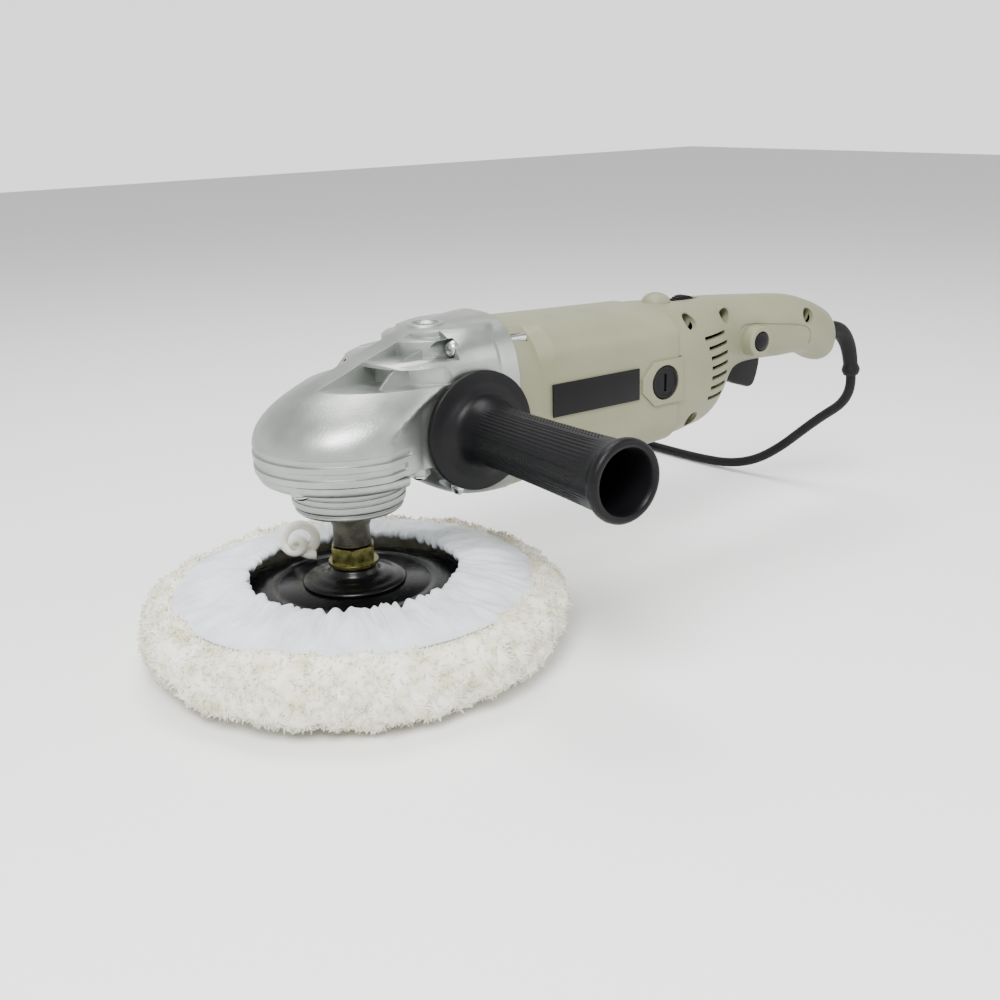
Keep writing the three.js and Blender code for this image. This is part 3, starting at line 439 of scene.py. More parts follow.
def roundedRing(row, count=96, inset=0):
    # a rounded upright section across X
    power = 2 / row.get("square", 2.6)
    middle, tall = (row["top"] + row["bottom"]) / 2, (row["top"] - row["bottom"]) / 2 - inset
    ring = []
    for k in range(count):
        turn = math.tau * (k + 0.5) / count
        c, s = math.cos(turn), math.sin(turn)
        ring.append((row["x"], math.copysign(abs(c) ** power, c) * (row["half"] - inset),
                     middle + math.copysign(abs(s) ** power, s) * tall))
    return ring


def helperObject(bm, name):
    bmesh.ops.recalc_face_normals(bm, faces=bm.faces)
    bmesh.ops.scale(bm, vec=(mm,) * 3, verts=bm.verts)
    mesh = bpy.data.meshes.new(name)
    bm.to_mesh(mesh)
    bm.free()
    helper = bpy.data.objects.new(name, mesh)
    scene.collection.objects.link(helper)
    return helper


def carve(piece, *steps, remesh=None, smooth=0, sharp=32):
    # each step is ("DIFFERENCE" or "UNION", a bmesh); the results are applied to the piece's mesh
    helpers = []
    if remesh:
        fused = piece.modifiers.new("fuse", "REMESH")
        fused.mode, fused.voxel_size = "VOXEL", remesh * mm
    if smooth:
        eased = piece.modifiers.new("ease", "SMOOTH")
        eased.factor, eased.iterations = 0.5, smooth
    for kind, bm in steps:
        helper = helperObject(bm, "cutter")
        helpers.append(helper)
        m = piece.modifiers.new("carve", "BOOLEAN")
        m.operation, m.object, m.solver, m.use_self = kind, helper, "EXACT", True
    graph = bpy.context.evaluated_depsgraph_get()
    result = bpy.data.meshes.new_from_object(piece.evaluated_get(graph))
    material = piece.data.materials[0] if piece.data.materials else None
    piece.modifiers.clear()
    piece.data = result
    result.materials.clear()
    if material:
        result.materials.append(material)
    for f in result.polygons:
        f.material_index = 0
    result.shade_smooth()
    result.set_sharp_from_angle(angle=math.radians(sharp))
    for helper in helpers:
        bpy.data.objects.remove(helper)
    return piece


# ---- cord: close to the frame's route, then the coil's turns and the plug's tail

cordSettings = {
    "radius": 3.5,
    "route": [(396.8, 0, 93.5), (396.85, 0, 93.2), (398.3, 0.7, 84.8), (399.4, 3.6, 76.9), (399.9, 8.4, 70),
              (399.8, 14.6, 64.4), (399.2, 27, 55.5), (397.5, 43, 42), (395, 61, 26), (391.5, 82, 12), (387.5, 105, 5),
              (383.5, 130, 3.6), (380.5, 155, 3.6), (378.6, 180, 3.6), (378, 199, 3.6)],
    "coilAt": (326, 228),
    "coilRadius": 52,
    "turns": 6.25,
    "pitch": 7,
    "tail": [(300, 280, 11.4), (288, 280, 13.9), (280, 280, 16.3), (273, 280, 17.5)],
    "length": 2.0,
}
bootSettings = {
    "route": [(352, 0, 126.8), (359, 0, 126.8), (366, 0, 126.8), (372, 0, 126.8), (377, 0, 126.4),
              (381.6, 0, 124.9), (385.4, 0, 122.2), (388.8, 0, 118.4), (391.5, 0, 114), (393.6, 0, 108.9),
              (395.1, 0, 103.5), (396, 0, 98.6), (396.9, 0, 92.4)],
    "radiusAtTail": 6.4,
    "radiusAtTip": 4.75,
    "bead": 6.3,
}


def cordLine(s):
    cx, cy = s["coilAt"]
    line = list(s["route"])
    perTurn = 20
    half = s["turns"] / 2
    inner = s["coilRadius"] - s["pitch"] * half
    for k in range(1, round(s["turns"] * perTurn) + 1):
        turn = k / perTurn
        down = turn <= half
        radius = s["coilRadius"] - s["pitch"] * turn if down else inner + s["pitch"] * (turn - half)
        climb = min(max((turn - half + 0.25) / 0.5, 0), 1)
        z = s["radius"] + 0.1 + 2 * s["radius"] * climb * climb * (3 - 2 * climb)
        angle = math.tau * turn
        line.append((cx + radius * math.cos(angle), cy + radius * math.sin(angle), z))
    return line + s["tail"]


def makeCord(s):
    line = cordLine(s)
    curve = bpy.data.curves.new("power_lead", "CURVE")
    curve.dimensions = "3D"
    spline = curve.splines.new("NURBS")
    spline.points.add(len(line) - 1)
    for point, p in zip(spline.points, line):
        point.co = (*(c * mm for c in p), 1)
    spline.use_endpoint_u, spline.order_u, spline.resolution_u = True, 3, 4
    curve.bevel_depth, curve.bevel_resolution, curve.use_fill_caps = s["radius"] * mm, 5, True
    curve.materials.append(cordPvc)
    lead = bpy.data.objects.new("power_lead", curve)
    scene.collection.objects.link(lead)
    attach(lead, "root")
    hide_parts("power_cord", "cord_coil")
    return lead


def makeBoot(s):
    # the strain relief: a tapered sleeve with a bead at its tip
    path = [Vector(p) for p in s["route"]]
    stations = []
    for a, b in zip(path, path[1:]):
        stations += [a.lerp(b, k / 4) for k in range(4)]
    stations.append(path[-1])
    for _ in range(3):
        stations = [stations[0]] + [(a + 2 * b + c) / 4 for a, b, c in
                                    zip(stations, stations[1:], stations[2:])] + [stations[-1]]
    rings = []
    for k, p in enumerate(stations):
        t = k / (len(stations) - 1)
        heading = (stations[min(k + 1, len(stations) - 1)] - stations[max(k - 1, 0)]).normalized()
        side = Vector((0, 1, 0))
        out = heading.cross(side)
        r = s["radiusAtTail"] + (s["radiusAtTip"] - s["radiusAtTail"]) * t
        r += (s["bead"] - r) * max(0, 1 - abs(t - 0.955) / 0.05) ** 0.6
        rings.append([p + r * (math.cos(a) * side + math.sin(a) * out)
                      for a in (math.tau * i / 32 for i in range(32))])
    bm = bmesh.new()
    skin(bm, rings)
    return finishPiece("strain_relief", bm, cordPvc, "root", ["power_cord_boot"], sharp=40)


def makePlug():
    # round two-pin mains plug: ribbed grip, flange and two bright pins
    centre = (0, 280, 17.6)
    bm = bmesh.new()
    grip = [(0, 273.2), (5.2, 273.2), (5.6, 258), (9.2, 254.6)]
    for k in range(4):
        x = 253.4 - 2.9 * k
        grip += [(9.6 + 0.5 * k, x), (9.6 + 0.5 * k, x - 1.5), (8.9 + 0.5 * k, x - 1.9), (8.9 + 0.5 * k, x - 2.7)]
    grip += [(12.2, 241.4), (16.6, 239.4), (17.5, 238.4), (17.5, 233), (16.6, 232.1), (0, 232.1)]
    turned(bm, grip, 64, "x", centre)
    body = finishPiece("mains_plug", bm, finishes["black_plastic"], "root", ["plug"])
    bm = bmesh.new()
    for y in (-9.5, 9.5):
        turned(bm, [(0, 213.1), (1.5, 213.1), (2.3, 214.2), (2.4, 215.4), (2.4, 232.4), (0, 232.4)],
               28, "x", (0, centre[1] + y, centre[2]))
    pins = finishPiece("plug_pins", bm, finishes["bright_steel"], "root")
    return body, pins


lead = makeCord(cordSettings)
boot = makeBoot(bootSettings)
plugBody, plugPins = makePlug()
print("cord laid")


# ---- floor, lights and background

def makeStage():
    bm = bmesh.new()
    bmesh.ops.create_grid(bm, x_segments=2, y_segments=2, size=4000)
    floorMaterial, shader = newMaterial("paleFloor", {"Base Color": "#f4f4f3", "Roughness": 0.75})
    floor = finishPiece("floor", bm, floorMaterial, None)
    floor.data.transform(Matrix.Translation((0, 0, -0.0006)))
    world = bpy.data.worlds.new("studio")
    world.use_nodes = True
    world.node_tree.nodes["Background"].inputs["Color"].default_value = linear("#ffffff")
    # bright walls all round, dimmer overhead, so the metal has something to reflect
    sky = addNode(world, "ShaderNodeTexCoord").outputs["Generated"]
    height = addNode(world, "ShaderNodeSeparateXYZ", {}, Vector=sky)
    glow = addNode(world, "ShaderNodeMapRange", {"From Min": 0.05, "From Max": 0.9, "To Min": 1.7, "To Max": 0.35},
                   Value=height.outputs["Z"])
    world.node_tree.links.new(glow.outputs["Result"], world.node_tree.nodes["Background"].inputs["Strength"])
    scene.world = world
    for name, place, size, power in (
        ("keySoftbox", (-550, -700, 1100), 600, 32),
        ("fillSoftbox", (900, -900, 700), 900, 6),
        ("topSoftbox", (150, 300, 1300), 700, 16),
    ):
        light = bpy.data.lights.new(name, "AREA")
        light.shape, light.size, light.energy = "SQUARE", size * mm, power
        lamp = bpy.data.objects.new(name, light)
        lamp.location = Vector(place) * mm
        lamp.rotation_mode = "QUATERNION"
        lamp.rotation_quaternion = (Vector((100, 0, 80)) - Vector(place)).to_track_quat("-Z", "Y")
        scene.collection.objects.link(lamp)


makeStage()
print("stage set")

# ---- bonnet: wool pile round a gathered cotton skirt

woolSettings = {
    "outline": [(0, 0.4), (30, 0.4), (60, 0.4), (84, 0.6), (92, 1.4), (101, 3.4), (108, 7), (113, 12.5),
                (115.4, 19), (115.2, 26), (112.6, 32.5), (107.6, 37.4), (101, 39.8), (95.5, 39.4),
                (93.2, 37.4), (93.1, 30), (93.1, 14.5), (60, 14.4), (0, 14.4)],
    "spacing": 2.1,
    "around": 340,
    "clumps": ((30, 3), (13, 4.2), (5, 2.2)),
    "tufts": 9000,
    "tuftLength": (1.8, 3.6),
    "seed": 4,
}


def woolHeight(p, clumps):
    # puffs with creases between them, in three sizes
    (lumpSize, lump), (puffSize, puff), (curlSize, curl) = clumps
    warped = p + 3.2 * noise.noise_vector(p / 8)
    height = lump * noise.noise(p / lumpSize + Vector((7, 3, 1)))
    height += puff * (0.42 - noise.voronoi(warped / puffSize)[0][0])
    return height + curl * (0.42 - noise.voronoi(warped / curlSize)[0][0])


def makeWool(s):
    profile = []
    for a, b in zip(s["outline"], s["outline"][1:]):
        count = max(1, round(math.dist(a, b) / (s["spacing"] if max(a[0], b[0]) > 93.5 else 9)))
        profile += [(a[0] + (b[0] - a[0]) * k / count, a[1] + (b[1] - a[1]) * k / count) for k in range(count)]
    profile.append(s["outline"][-1])
    bm = turned(bmesh.new(), profile, s["around"])
    bm.normal_update()
    moves = []
    for v in bm.verts:
        r = math.hypot(v.co.x, v.co.y)
        depth = min(max((r - 88) / 10, 0), 1) if v.co.z < 20 else min(max((r - 93.6) / 5, 0), 1)
        moves.append(v.normal * (woolHeight(v.co, s["clumps"]) * depth))
    for v, move in zip(bm.verts, moves):
        v.co += move
        v.co.z = max(v.co.z, 0.25)
    bm.normal_update()
    draw = random.Random(s["seed"])
    roots = sorted((v for v in bm.verts if math.hypot(v.co.x, v.co.y) > 97),
                   key=lambda v: (round(v.co.x, 3), round(v.co.y, 3), round(v.co.z, 3)))
    chosen = [draw.choice(roots) for _ in range(s["tufts"])]
    places = [(v.co.copy(), v.normal.copy()) for v in chosen]
    # one tuft is a bent three-sided cone; the copies go in as one mesh
    levels, sides = (0, 0.34, 0.67, 1), 3
    points = [Vector(((1.05 - 0.85 * t) * math.cos(math.tau * k / sides) + 0.7 * t * t,
                      (1.05 - 0.85 * t) * math.sin(math.tau * k / sides), t)) for t in levels for k in range(sides)]
    quads = [(sides * j + k, sides * j + (k + 1) % sides, sides * (j + 1) + (k + 1) % sides, sides * (j + 1) + k)
             for j in range(len(levels) - 1) for k in range(sides)]
    last = sides * (len(levels) - 1)
    verts, faces = [], []
    for place, normal in places:
        drift = Vector((draw.uniform(-1, 1), draw.uniform(-1, 1), draw.uniform(-0.9, 0.6)))
        lean = (normal + 1.15 * drift).normalized()
        long = draw.uniform(*s["tuftLength"])
        if place.z + lean.z * long < 0.3:
            lean.z = abs(lean.z) * 0.3
        turn = lean.to_track_quat("Z", "Y").to_matrix() @ Matrix.Rotation(draw.uniform(0, math.tau), 3, "Z")
        wide = draw.uniform(0.7, 1.25)
        stretch = turn @ Matrix.Diagonal((wide, wide, long))
        start = len(verts)
        verts += [place - normal * 0.7 + stretch @ p for p in points]
        faces += [tuple(start + i for i in quad) for quad in quads]
        faces += [(start + 2, start + 1, start), (start + last, start + last + 1, start + last + 2)]
    tufts = bpy.data.meshes.new("tufts")
    tufts.from_pydata(verts, [], faces)
    bm.from_mesh(tufts)
    bpy.data.meshes.remove(tufts)
    for v in bm.verts:
        v.co.z = max(v.co.z, 0.2)
    wool = finishPiece("wool_bonnet", bm, finishes["wool_pile"], "spindle", ["bonnet_wool"],
                       sharp=180, merge=0.0005)
    return wool


skirtSettings = {
    "mouthR": 58.5,
    "edgeR": 98,
    "edgeZ": 38.6,
    "crownZ": 44.6,
    "hemR": 1.75,
    "around": 540,
    "across": 26,
    "pleats": 38,
}


def pleat(angle, out, s):
    # folds that start at the drawn hem and run out, fewer and softer towards the edge
    waver = 0.6 * noise.noise(Vector((2.2 * math.cos(angle), 2.2 * math.sin(angle), 3 * out)))
    turns = angle + 0.06 * waver * out
    fine = noise.noise(Vector((s["pleats"] / 3 * math.cos(turns), s["pleats"] / 3 * math.sin(turns), 1.6 * out)))
    broad = noise.noise(Vector((5.2 * math.cos(turns + 0.1), 5.2 * math.sin(turns + 0.1), 4 + 1.1 * out)))
    ridge = 1 - abs(fine) * 2.6
    return (2.4 * ridge * (1 - out) ** 0.9 + 4.2 * broad * (1 - out) ** 0.5 * min(1, 0.35 + out * 4)
            + 5 * ridge * out * (1 - out))


def makeSkirt(s):
    rings = []
    for j in range(-7, s["across"] + 1):
        ring = []
        for k in range(s["around"]):
            angle = math.tau * k / s["around"]
            ragged = 2.6 * noise.noise(Vector((6 * math.cos(angle), 6 * math.sin(angle), 9)))
            ragged += 1.5 * noise.noise(Vector((19 * math.cos(angle), 19 * math.sin(angle), 2)))
            out = max(j, 0) / s["across"]
            mouth = s["mouthR"] + ragged * (1 - out) ** 3
            r = mouth + (s["edgeR"] - mouth) * out
            z = s["crownZ"] + (s["edgeZ"] - s["crownZ"]) * out**1.6 + pleat(angle, out, s)
            if j < 0:  # the hem rolls in round the drawstring
                roll = math.pi * 0.28 * -j
                tight = s["hemR"] * (1 + 0.25 * noise.noise(Vector((30 * math.cos(angle), 30 * math.sin(angle), 5))))
                r -= tight * math.sin(roll)
                z -= tight * (1 - math.cos(roll))
            floor = 39.4 if r < 60 else 39.4 - 1.2 * (r - 60) / 34
            ring.append((r * math.cos(angle), r * math.sin(angle), max(z, floor)))
        rings.append(ring)
    bm = skin(bmesh.new(), rings, capped=False)
    skirt = finishPiece("cotton_skirt", bm, finishes["white_cloth"], "spindle", ["bonnet_skirt"],
                        sharp=180, merge=0.0005)
    thick = skirt.modifiers.new("cloth", "SOLIDIFY")
    thick.thickness, thick.offset = 0.5 * mm, 0
    return skirt


drawstringSettings = {
    "at": (-9.5, 46.5, 51.5),
    "radius": 2.6,
    "loops": [(0, 0, -7), (5.5, 0, -7.5), (9.4, 0, -4), (9.6, 1, 1.4), (6.4, 1.5, 6.2), (1, 1, 8.2),
              (-4.6, 0, 6.8), (-8.6, -1, 2.6), (-8.8, -2.4, -3.2), (-5, -4, -7), (0.6, -5.4, -6.6),
              (4, -6.4, -2.6), (2.6, -7, 1.8), (-1.6, -7, 2.2), (-3.6, -6, -1.2), (-1, -4.4, -4.6),
              (4, -2.8, -9.4), (9, -1.6, -9.8)],
}


def makeDrawstring(s):
    # the string's ends are tied and tucked into a loose double loop behind the spindle
    toCamera = Vector((-0.535, -0.784, 0.0)).normalized()
    side = Vector((-toCamera.y, toCamera.x, 0))
    curve = bpy.data.curves.new("drawstring_loops", "CURVE")
    curve.dimensions = "3D"
    spline = curve.splines.new("NURBS")
    spline.points.add(len(s["loops"]) - 1)
    for point, (a, b, c) in zip(spline.points, s["loops"]):
        p = Vector(s["at"]) + a * side - b * toCamera + Vector((0, 0, c))
        point.co = (*(p * mm), 1)
    spline.use_endpoint_u, spline.order_u, spline.resolution_u = True, 4, 8
    curve.bevel_depth, curve.bevel_resolution, curve.use_fill_caps = s["radius"] * mm, 5, True
    loops = bpy.data.objects.new("drawstring_loops", curve)
    scene.collection.objects.link(loops)
    graph = bpy.context.evaluated_depsgraph_get()
    mesh = bpy.data.meshes.new_from_object(loops.evaluated_get(graph))
    bpy.data.objects.remove(loops)
    bm = bmesh.new()
    bm.from_mesh(mesh)
    bmesh.ops.scale(bm, vec=(1 / mm,) * 3, verts=bm.verts)
    knot = finishPiece("drawstring_knot", bm, drawstringCotton, "spindle", ["drawstring"], sharp=180)
    return knot


makeWool(woolSettings)
skirtPiece = makeSkirt(skirtSettings)
makeDrawstring(drawstringSettings)
print("bonnet made")


# ---- backing pad, hub, nut and spindle

def makePadStack():
    bm = turned(bmesh.new(), [
        (0, 14.9), (87.6, 14.9), (88.5, 15.8), (88.5, 22.4), (87.2, 23.4), (84.5, 24.6), (72, 30.6), (59, 35.3),
        (50, 37.6), (46, 38.3), (42.3, 38.5), (41.8, 38), (40.9, 38), (40.4, 38.5), (8, 38.5), (8, 26), (0, 26)], 128)
    finishPiece("moulded_pad", bm, glossBlack, "spindle", ["backing_pad"], sharp=50)
    bm = turned(bmesh.new(), [
        (7.4, 38.8), (27.2, 38.8), (28, 39.6), (28, 40.4), (27.2, 41.2), (24.5, 41.9), (21.6, 42.2), (20.8, 42.9),
        (17.5, 43.3), (14.6, 44), (13.4, 45.2), (12.9, 46.8), (12.2, 47.8), (11, 48.1), (7.4, 48.1)], 96)
    finishPiece("pad_flange", bm, glossBlack, "spindle", ["pad_hub"], sharp=50)
    low, high = nodeBox("spindle_nut")
    across = 22
    hexagon = [(across / math.sqrt(3) * math.cos(math.radians(60 * k)),
                across / math.sqrt(3) * math.sin(math.radians(60 * k))) for k in range(6)]
    bm = turned(bmesh.new(), [(7.3, low.z), (12.6, low.z), (13.4, low.z + 0.8), (13.4, high.z - 1.5),
                              (11.6, high.z), (8.2, high.z), (7.3, high.z - 0.9)], 96)
    keep = prism(bmesh.new(), hexagon, low.z + 1, high.z + 2, "z")
    rod(keep, 14, low.z - 1, low.z + 2.4)
    nut = finishPiece("flange_nut", bm, finishes["yellow_zinc"], "spindle", ["spindle_nut"])
    carve(nut, ("INTERSECT", keep))
    low, high = nodeBox("spindle")
    shoulder = 59.8
    bm = turned(bmesh.new(), [
        (0, low.z), (6, low.z), (7, low.z + 1), (7, shoulder), (9.9, shoulder), (10.6, shoulder + 0.7),
        (10.6, 86.7), (8.5, 86.7), (8.5, 98.5), (7, 98.5), (7, 117), (4, 118), (4, high.z), (0, high.z)], 96)
    flats = bmesh.new()
    for side in (1, -1):
        cuboid(flats, (-30, min(side * 9, side * 30), 61.3), (30, max(side * 9, side * 30), 71.8))
    bmesh.ops.rotate(flats, matrix=Matrix.Rotation(math.radians(52), 3, "Z"), verts=flats.verts)
    shaft = finishPiece("output_spindle", bm, finishes["dark_steel"], "spindle", ["spindle"])
    carve(shaft, ("DIFFERENCE", flats))


makePadStack()
print("pad and spindle made")


# ---- gear head

headSettings = {
    "middle": [  # level outlines: the nose's ellipse and how far it reaches
        {"z": 101, "middle": 0, "long": 47.6, "half": 46.6}, {"z": 108, "middle": 0, "long": 48.3, "half": 47.3},
        {"z": 114, "middle": 0, "long": 48.5, "half": 47.5}, {"z": 120, "middle": 0.5, "long": 48.8, "half": 47.5},
        {"z": 126, "middle": 3, "long": 49.5, "half": 47}, {"z": 131, "middle": 8, "long": 51, "half": 46.2},
        {"z": 137, "middle": 18, "long": 55, "half": 44}, {"z": 143, "middle": 30, "long": 58, "half": 41},
        {"z": 147.5, "middle": 40, "long": 58, "half": 39.5}, {"z": 153, "middle": 46, "long": 49.5, "half": 38.5},
        {"z": 158.3, "middle": 50, "long": 41, "half": 37.5}, {"z": 164, "middle": 56, "long": 31, "half": 34},
        {"z": 169.5, "middle": 62, "long": 24, "half": 27}, {"z": 171.5, "middle": 66, "long": 22, "half": 23},
    ],
    "drum": [
        {"x": 34.5, "half": 33, "bottom": 94.6, "top": 152, "square": 2.6},
        {"x": 38, "half": 36.4, "bottom": 89.6, "top": 161, "square": 2.6},
        {"x": 46, "half": 38.6, "bottom": 84, "top": 167.5, "square": 2.8},
        {"x": 57, "half": 38.8, "bottom": 79, "top": 170.8, "square": 3},
        {"x": 70, "half": 39.3, "bottom": 76.4, "top": 173.4, "square": 3},
        {"x": 85, "half": 40, "bottom": 76, "top": 174.9, "square": 3},
        {"x": 93, "half": 40, "bottom": 76, "top": 174.9, "square": 3},
    ],
    "grooves": ((110.6, 13.5), (117.4, 16.5)),  # height, and how far back along the side
    "voxel": 1.15,
    "ease": 7,
    "ramp": 7,
    "blockX": 57,
}


def levelRing(row, end=73):
    half, middle = row["half"], row["middle"]
    hip, waist = min(half, 38.6), max(24, middle + 6)
    nose = [(middle + row["long"] * math.cos(a), half * math.sin(a), row["z"])
            for a in (math.pi / 2 + math.pi * k / 48 for k in range(49))]
    back = max(waist + 5, end)
    sides = [(waist, -hip), (back, -hip), (back, hip), (waist, hip)]
    return nose + [(x, y, row["z"]) for x, y in sides]


def grooveRings(height, back):
    # the groove follows the nose and runs a little way back along each side
    long, half = 48.4, 47.4
    slope = Vector((24, -(half - 38.6))).normalized()
    path = [(slope * (back * (1 - k / 6)), -1) for k in range(6)]
    line = [Vector((p.x, -(half + p.y))) for p, _ in path]
    arc = [math.pi * 1.5 - math.pi * k / 60 for k in range(61)]
    line += [Vector((long * math.cos(a), half * math.sin(a))) for a in arc]
    line += [Vector((p.x, -p.y)) for p in reversed(line[:6])]
    section = [(5, -2.3), (-0.5, -1.9), (-1.15, -1.3), (-1.25, 0.6), (-1.1, 1.5), (-0.2, 1.9), (5, 2.1)]
    rings = []
    for k, p in enumerate(line):
        ahead = (line[min(k + 1, len(line) - 1)] - line[max(k - 1, 0)]).normalized()
        out = Vector((-ahead.y, ahead.x))
        if out.dot(p) < 0:
            out = -out
        rings.append([(p.x + out.x * d, p.y + out.y * d, height + h) for d, h in section])
    return rings


def cellCutters(s):
    # two tiers of open cells beside the ramp; their back walls follow circles round the top boss
    blockX, ramp = s["blockX"], s["ramp"]
    cutters = []
    for side in (1, -1):
        def y(a, b):
            return (a, b) if side > 0 else (-b, -a)
        (a, b) = y(ramp, 60)
        lower = cuboid(bmesh.new(), (-60, a, 147), (blockX - 4, b, 155.8))
        core = rod(bmesh.new(), 41, 146, 158.3, at=(blockX, 0, 0), sides=96)
        cutters.append(solid(lower, ("DIFFERENCE", core)))
        upper = cuboid(bmesh.new(), (-60, a, 158.3), (blockX - 8, b, 180))
        core = turned(bmesh.new(), [(0, 157), (28, 157), (28, 167), (20, 167.4), (20, 181), (0, 181)],
                      at=(blockX, 0, 0))
        screwBoss = rod(bmesh.new(), 8, 49.5, 80, "x", (0, side * 28, 162.4))
        cutters.append(solid(upper, ("DIFFERENCE", core), ("DIFFERENCE", screwBoss)))
        lip = cuboid(bmesh.new(), (-60, a, 155.3), (blockX, b, 158.5))
        edge = rod(bmesh.new(), 48, 150, 160, at=(blockX, 0, 0), sides=96)
        cutters.append(solid(lip, ("DIFFERENCE", edge)))
    return cutters


def finSolids():
    fins = bmesh.new()
    for side in (1, -1):
        low, high = sorted((side * 24, side * 26))
        prism(fins, [(7.6, 146.6), (17.8, 157), (27, 157), (27, 146.6)], low, high)
        low, high = sorted((side * 18, side * 20))
        prism(fins, [(24, 157.6), (49.6, 168), (58, 168), (58, 157.6)], low, high)
    return fins


def makeHead(s):
    bm = skin(bmesh.new(), [levelRing(r) for r in smoothTable(s["middle"], ("z", "middle", "long", "half"), 2)])
    skin(bm, [roundedRing(r) for r in smoothTable(s["drum"], ("x", "half", "bottom", "top", "square"), 2.5)])
    head = finishPiece("gear_case", bm, finishes["cast_silver"], "root", ["gear_housing"])
    trims = bmesh.new()
    cuboid(trims, (85, -60, 60), (110, 60, 190))
    under = cuboid(bmesh.new(), (-60, -60, 60), (33.7, 60, 105.3))
    bosses = rod(bmesh.new(), 13, -40.1, 40.1, "y", (57, 0, 120.7), 72)
    topBoss = turned(bmesh.new(), [(0, 160), (11, 160), (11, 170.6), (10.4, 171.8), (9.4, 172.4), (0, 172.4)],
                     72, at=(52, 0, 0))
    grooves = bmesh.new()
    for height, back in s["grooves"]:
        skin(grooves, grooveRings(height, back))
    inside = turned(bmesh.new(), [(0, 90), (31.5, 90), (31.5, 121.5), (27, 126.5), (0, 126.5)])
    tunnel = turned(bmesh.new(), [(0, 8), (10.5, 8), (10.5, 40.7), (16.3, 40.7), (16.3, 64), (36.6, 64),
                                  (36.6, 90), (0, 90)], axis="x", at=(0, 0, 126))
    bore = turned(bmesh.new(), [(0, 120), (7.3, 120), (7.3, 138.6), (5, 138.6), (5, 141), (0, 141)])
    openings = bmesh.new()
    for side in (1, -1):
        for x0, y0, y1, z0, z1 in ((36, 10, 22, 148.5, 154.5), (40, 27.5, 34, 148.5, 153.5), (42, 9, 16, 161, 166)):
            cuboid(openings, (x0, min(side * y0, side * y1), z0), (70, max(side * y0, side * y1), z1))
    sockets = rod(bmesh.new(), 5.3, -60, -24, "y", (57, 0, 120.7))
    rod(sockets, 5.3, 24, 60, "y", (57, 0, 120.7))
    turned(sockets, [(0, 158), (5.3, 158), (5.3, 170.6), (7.3, 172), (7.3, 190), (0, 190)], at=(52, 0, 0))
    for y, z in ((-28, 162.4), (28, 162.4), (-28, 88), (28, 88)):
        turned(sockets, [(0, 10), (5.5, 10), (5.5, 51.5), (2.5, 51.5), (2.5, 100), (0, 100)], 40, "x", (0, y, z))
    for x, y in ((-36, -19), (-36, 19), (27.5, -28), (27.5, 28)):
        rod(sockets, 2.3, 90, 114, at=(x, y, 0), sides=24)
    carve(head, ("DIFFERENCE", together(trims, under, *cellCutters(s))),
          ("UNION", together(bosses, topBoss, finSolids())),
          ("DIFFERENCE", together(grooves, inside, tunnel, bore, openings, sockets)),
          remesh=s["voxel"], smooth=s["ease"], sharp=36)
    return head


makeHead(headSettings)
print("gear case made")


# ---- gear cover and neck

def makeCover():
    bm = turned(bmesh.new(), [
        (31.5, 99.3), (43.6, 99.3), (45.2, 100.2), (46.3, 102), (46.5, 103), (46.5, 104.6), (46.1, 105), (31.5, 105)], 144)
    back = cuboid(bmesh.new(), (12, -60, 50), (80, 60, 120))
    rim = solid(bm, ("DIFFERENCE", back))
    plate = turned(bmesh.new(), [(31.5, 102), (39.5, 102), (39.5, 105), (31.5, 105)])
    neck = turned(bmesh.new(), [
        (11.2, 84.9), (29, 84.9), (29.9, 85.6), (30.2, 86.6), (30.2, 88.9), (29.7, 89.2), (29.7, 89.7), (30.2, 90),
        (30.2, 92.3), (29.7, 92.6), (29.7, 93.1), (30.2, 93.4), (30.4, 96.6), (31, 98.2), (32.5, 99.3), (32.5, 105),
        (31.5, 105), (31.5, 102.5), (16.3, 100), (16.3, 86.7), (11.2, 86.7)], 144)
    lugs, holes = bmesh.new(), bmesh.new()
    for x, y in ((-36, -19), (-36, 19), (27.5, -28), (27.5, 28)):
        turned(lugs, [(0, 99.3), (5.2, 99.3), (5.8, 99.9), (5.8, 105), (0, 105)], 40, at=(x, y, 0))
        rod(lugs, 5.8, 99.3, 105, at=(x * 0.9, y * 0.9, 0), sides=40)
        rod(holes, 2.3, 80, 110, at=(x, y, 0), sides=24)
    cover = finishPiece("gear_case_cover", rim, finishes["cast_silver"], "root", ["gear_cover"])
    clear = rod(bmesh.new(), 31.8, 60, 120)
    cuboid(clear, (33.4, -60, 50), (80, 60, 120))
    trimmed = solid(together(plate, lugs), ("DIFFERENCE", clear))
    carve(cover, ("UNION", together(trimmed, neck)), ("DIFFERENCE", holes))
    cap = turned(bmesh.new(), [
        (11.2, 80.7), (25.8, 80.7), (27.4, 81), (28.4, 81.8), (28.8, 82.6), (28.8, 83.2), (28.4, 83.5), (28.4, 83.8),
        (29.2, 84.2), (29.2, 84.6), (11.2, 84.6)], 144)
    finishPiece("neck_ring", cap, finishes["cast_silver"], "root", ["neck_cap"])


def crossRecess(bm, size, depth):
    for turn in (0, math.pi / 2):
        part = bmesh.new()
        cuboid(part, (-size, -size * 0.17, -depth), (size, size * 0.17, 5))
        bmesh.ops.rotate(part, matrix=Matrix.Rotation(turn, 3, "Z"), verts=part.verts)
        pour(part, bm)
    return bm


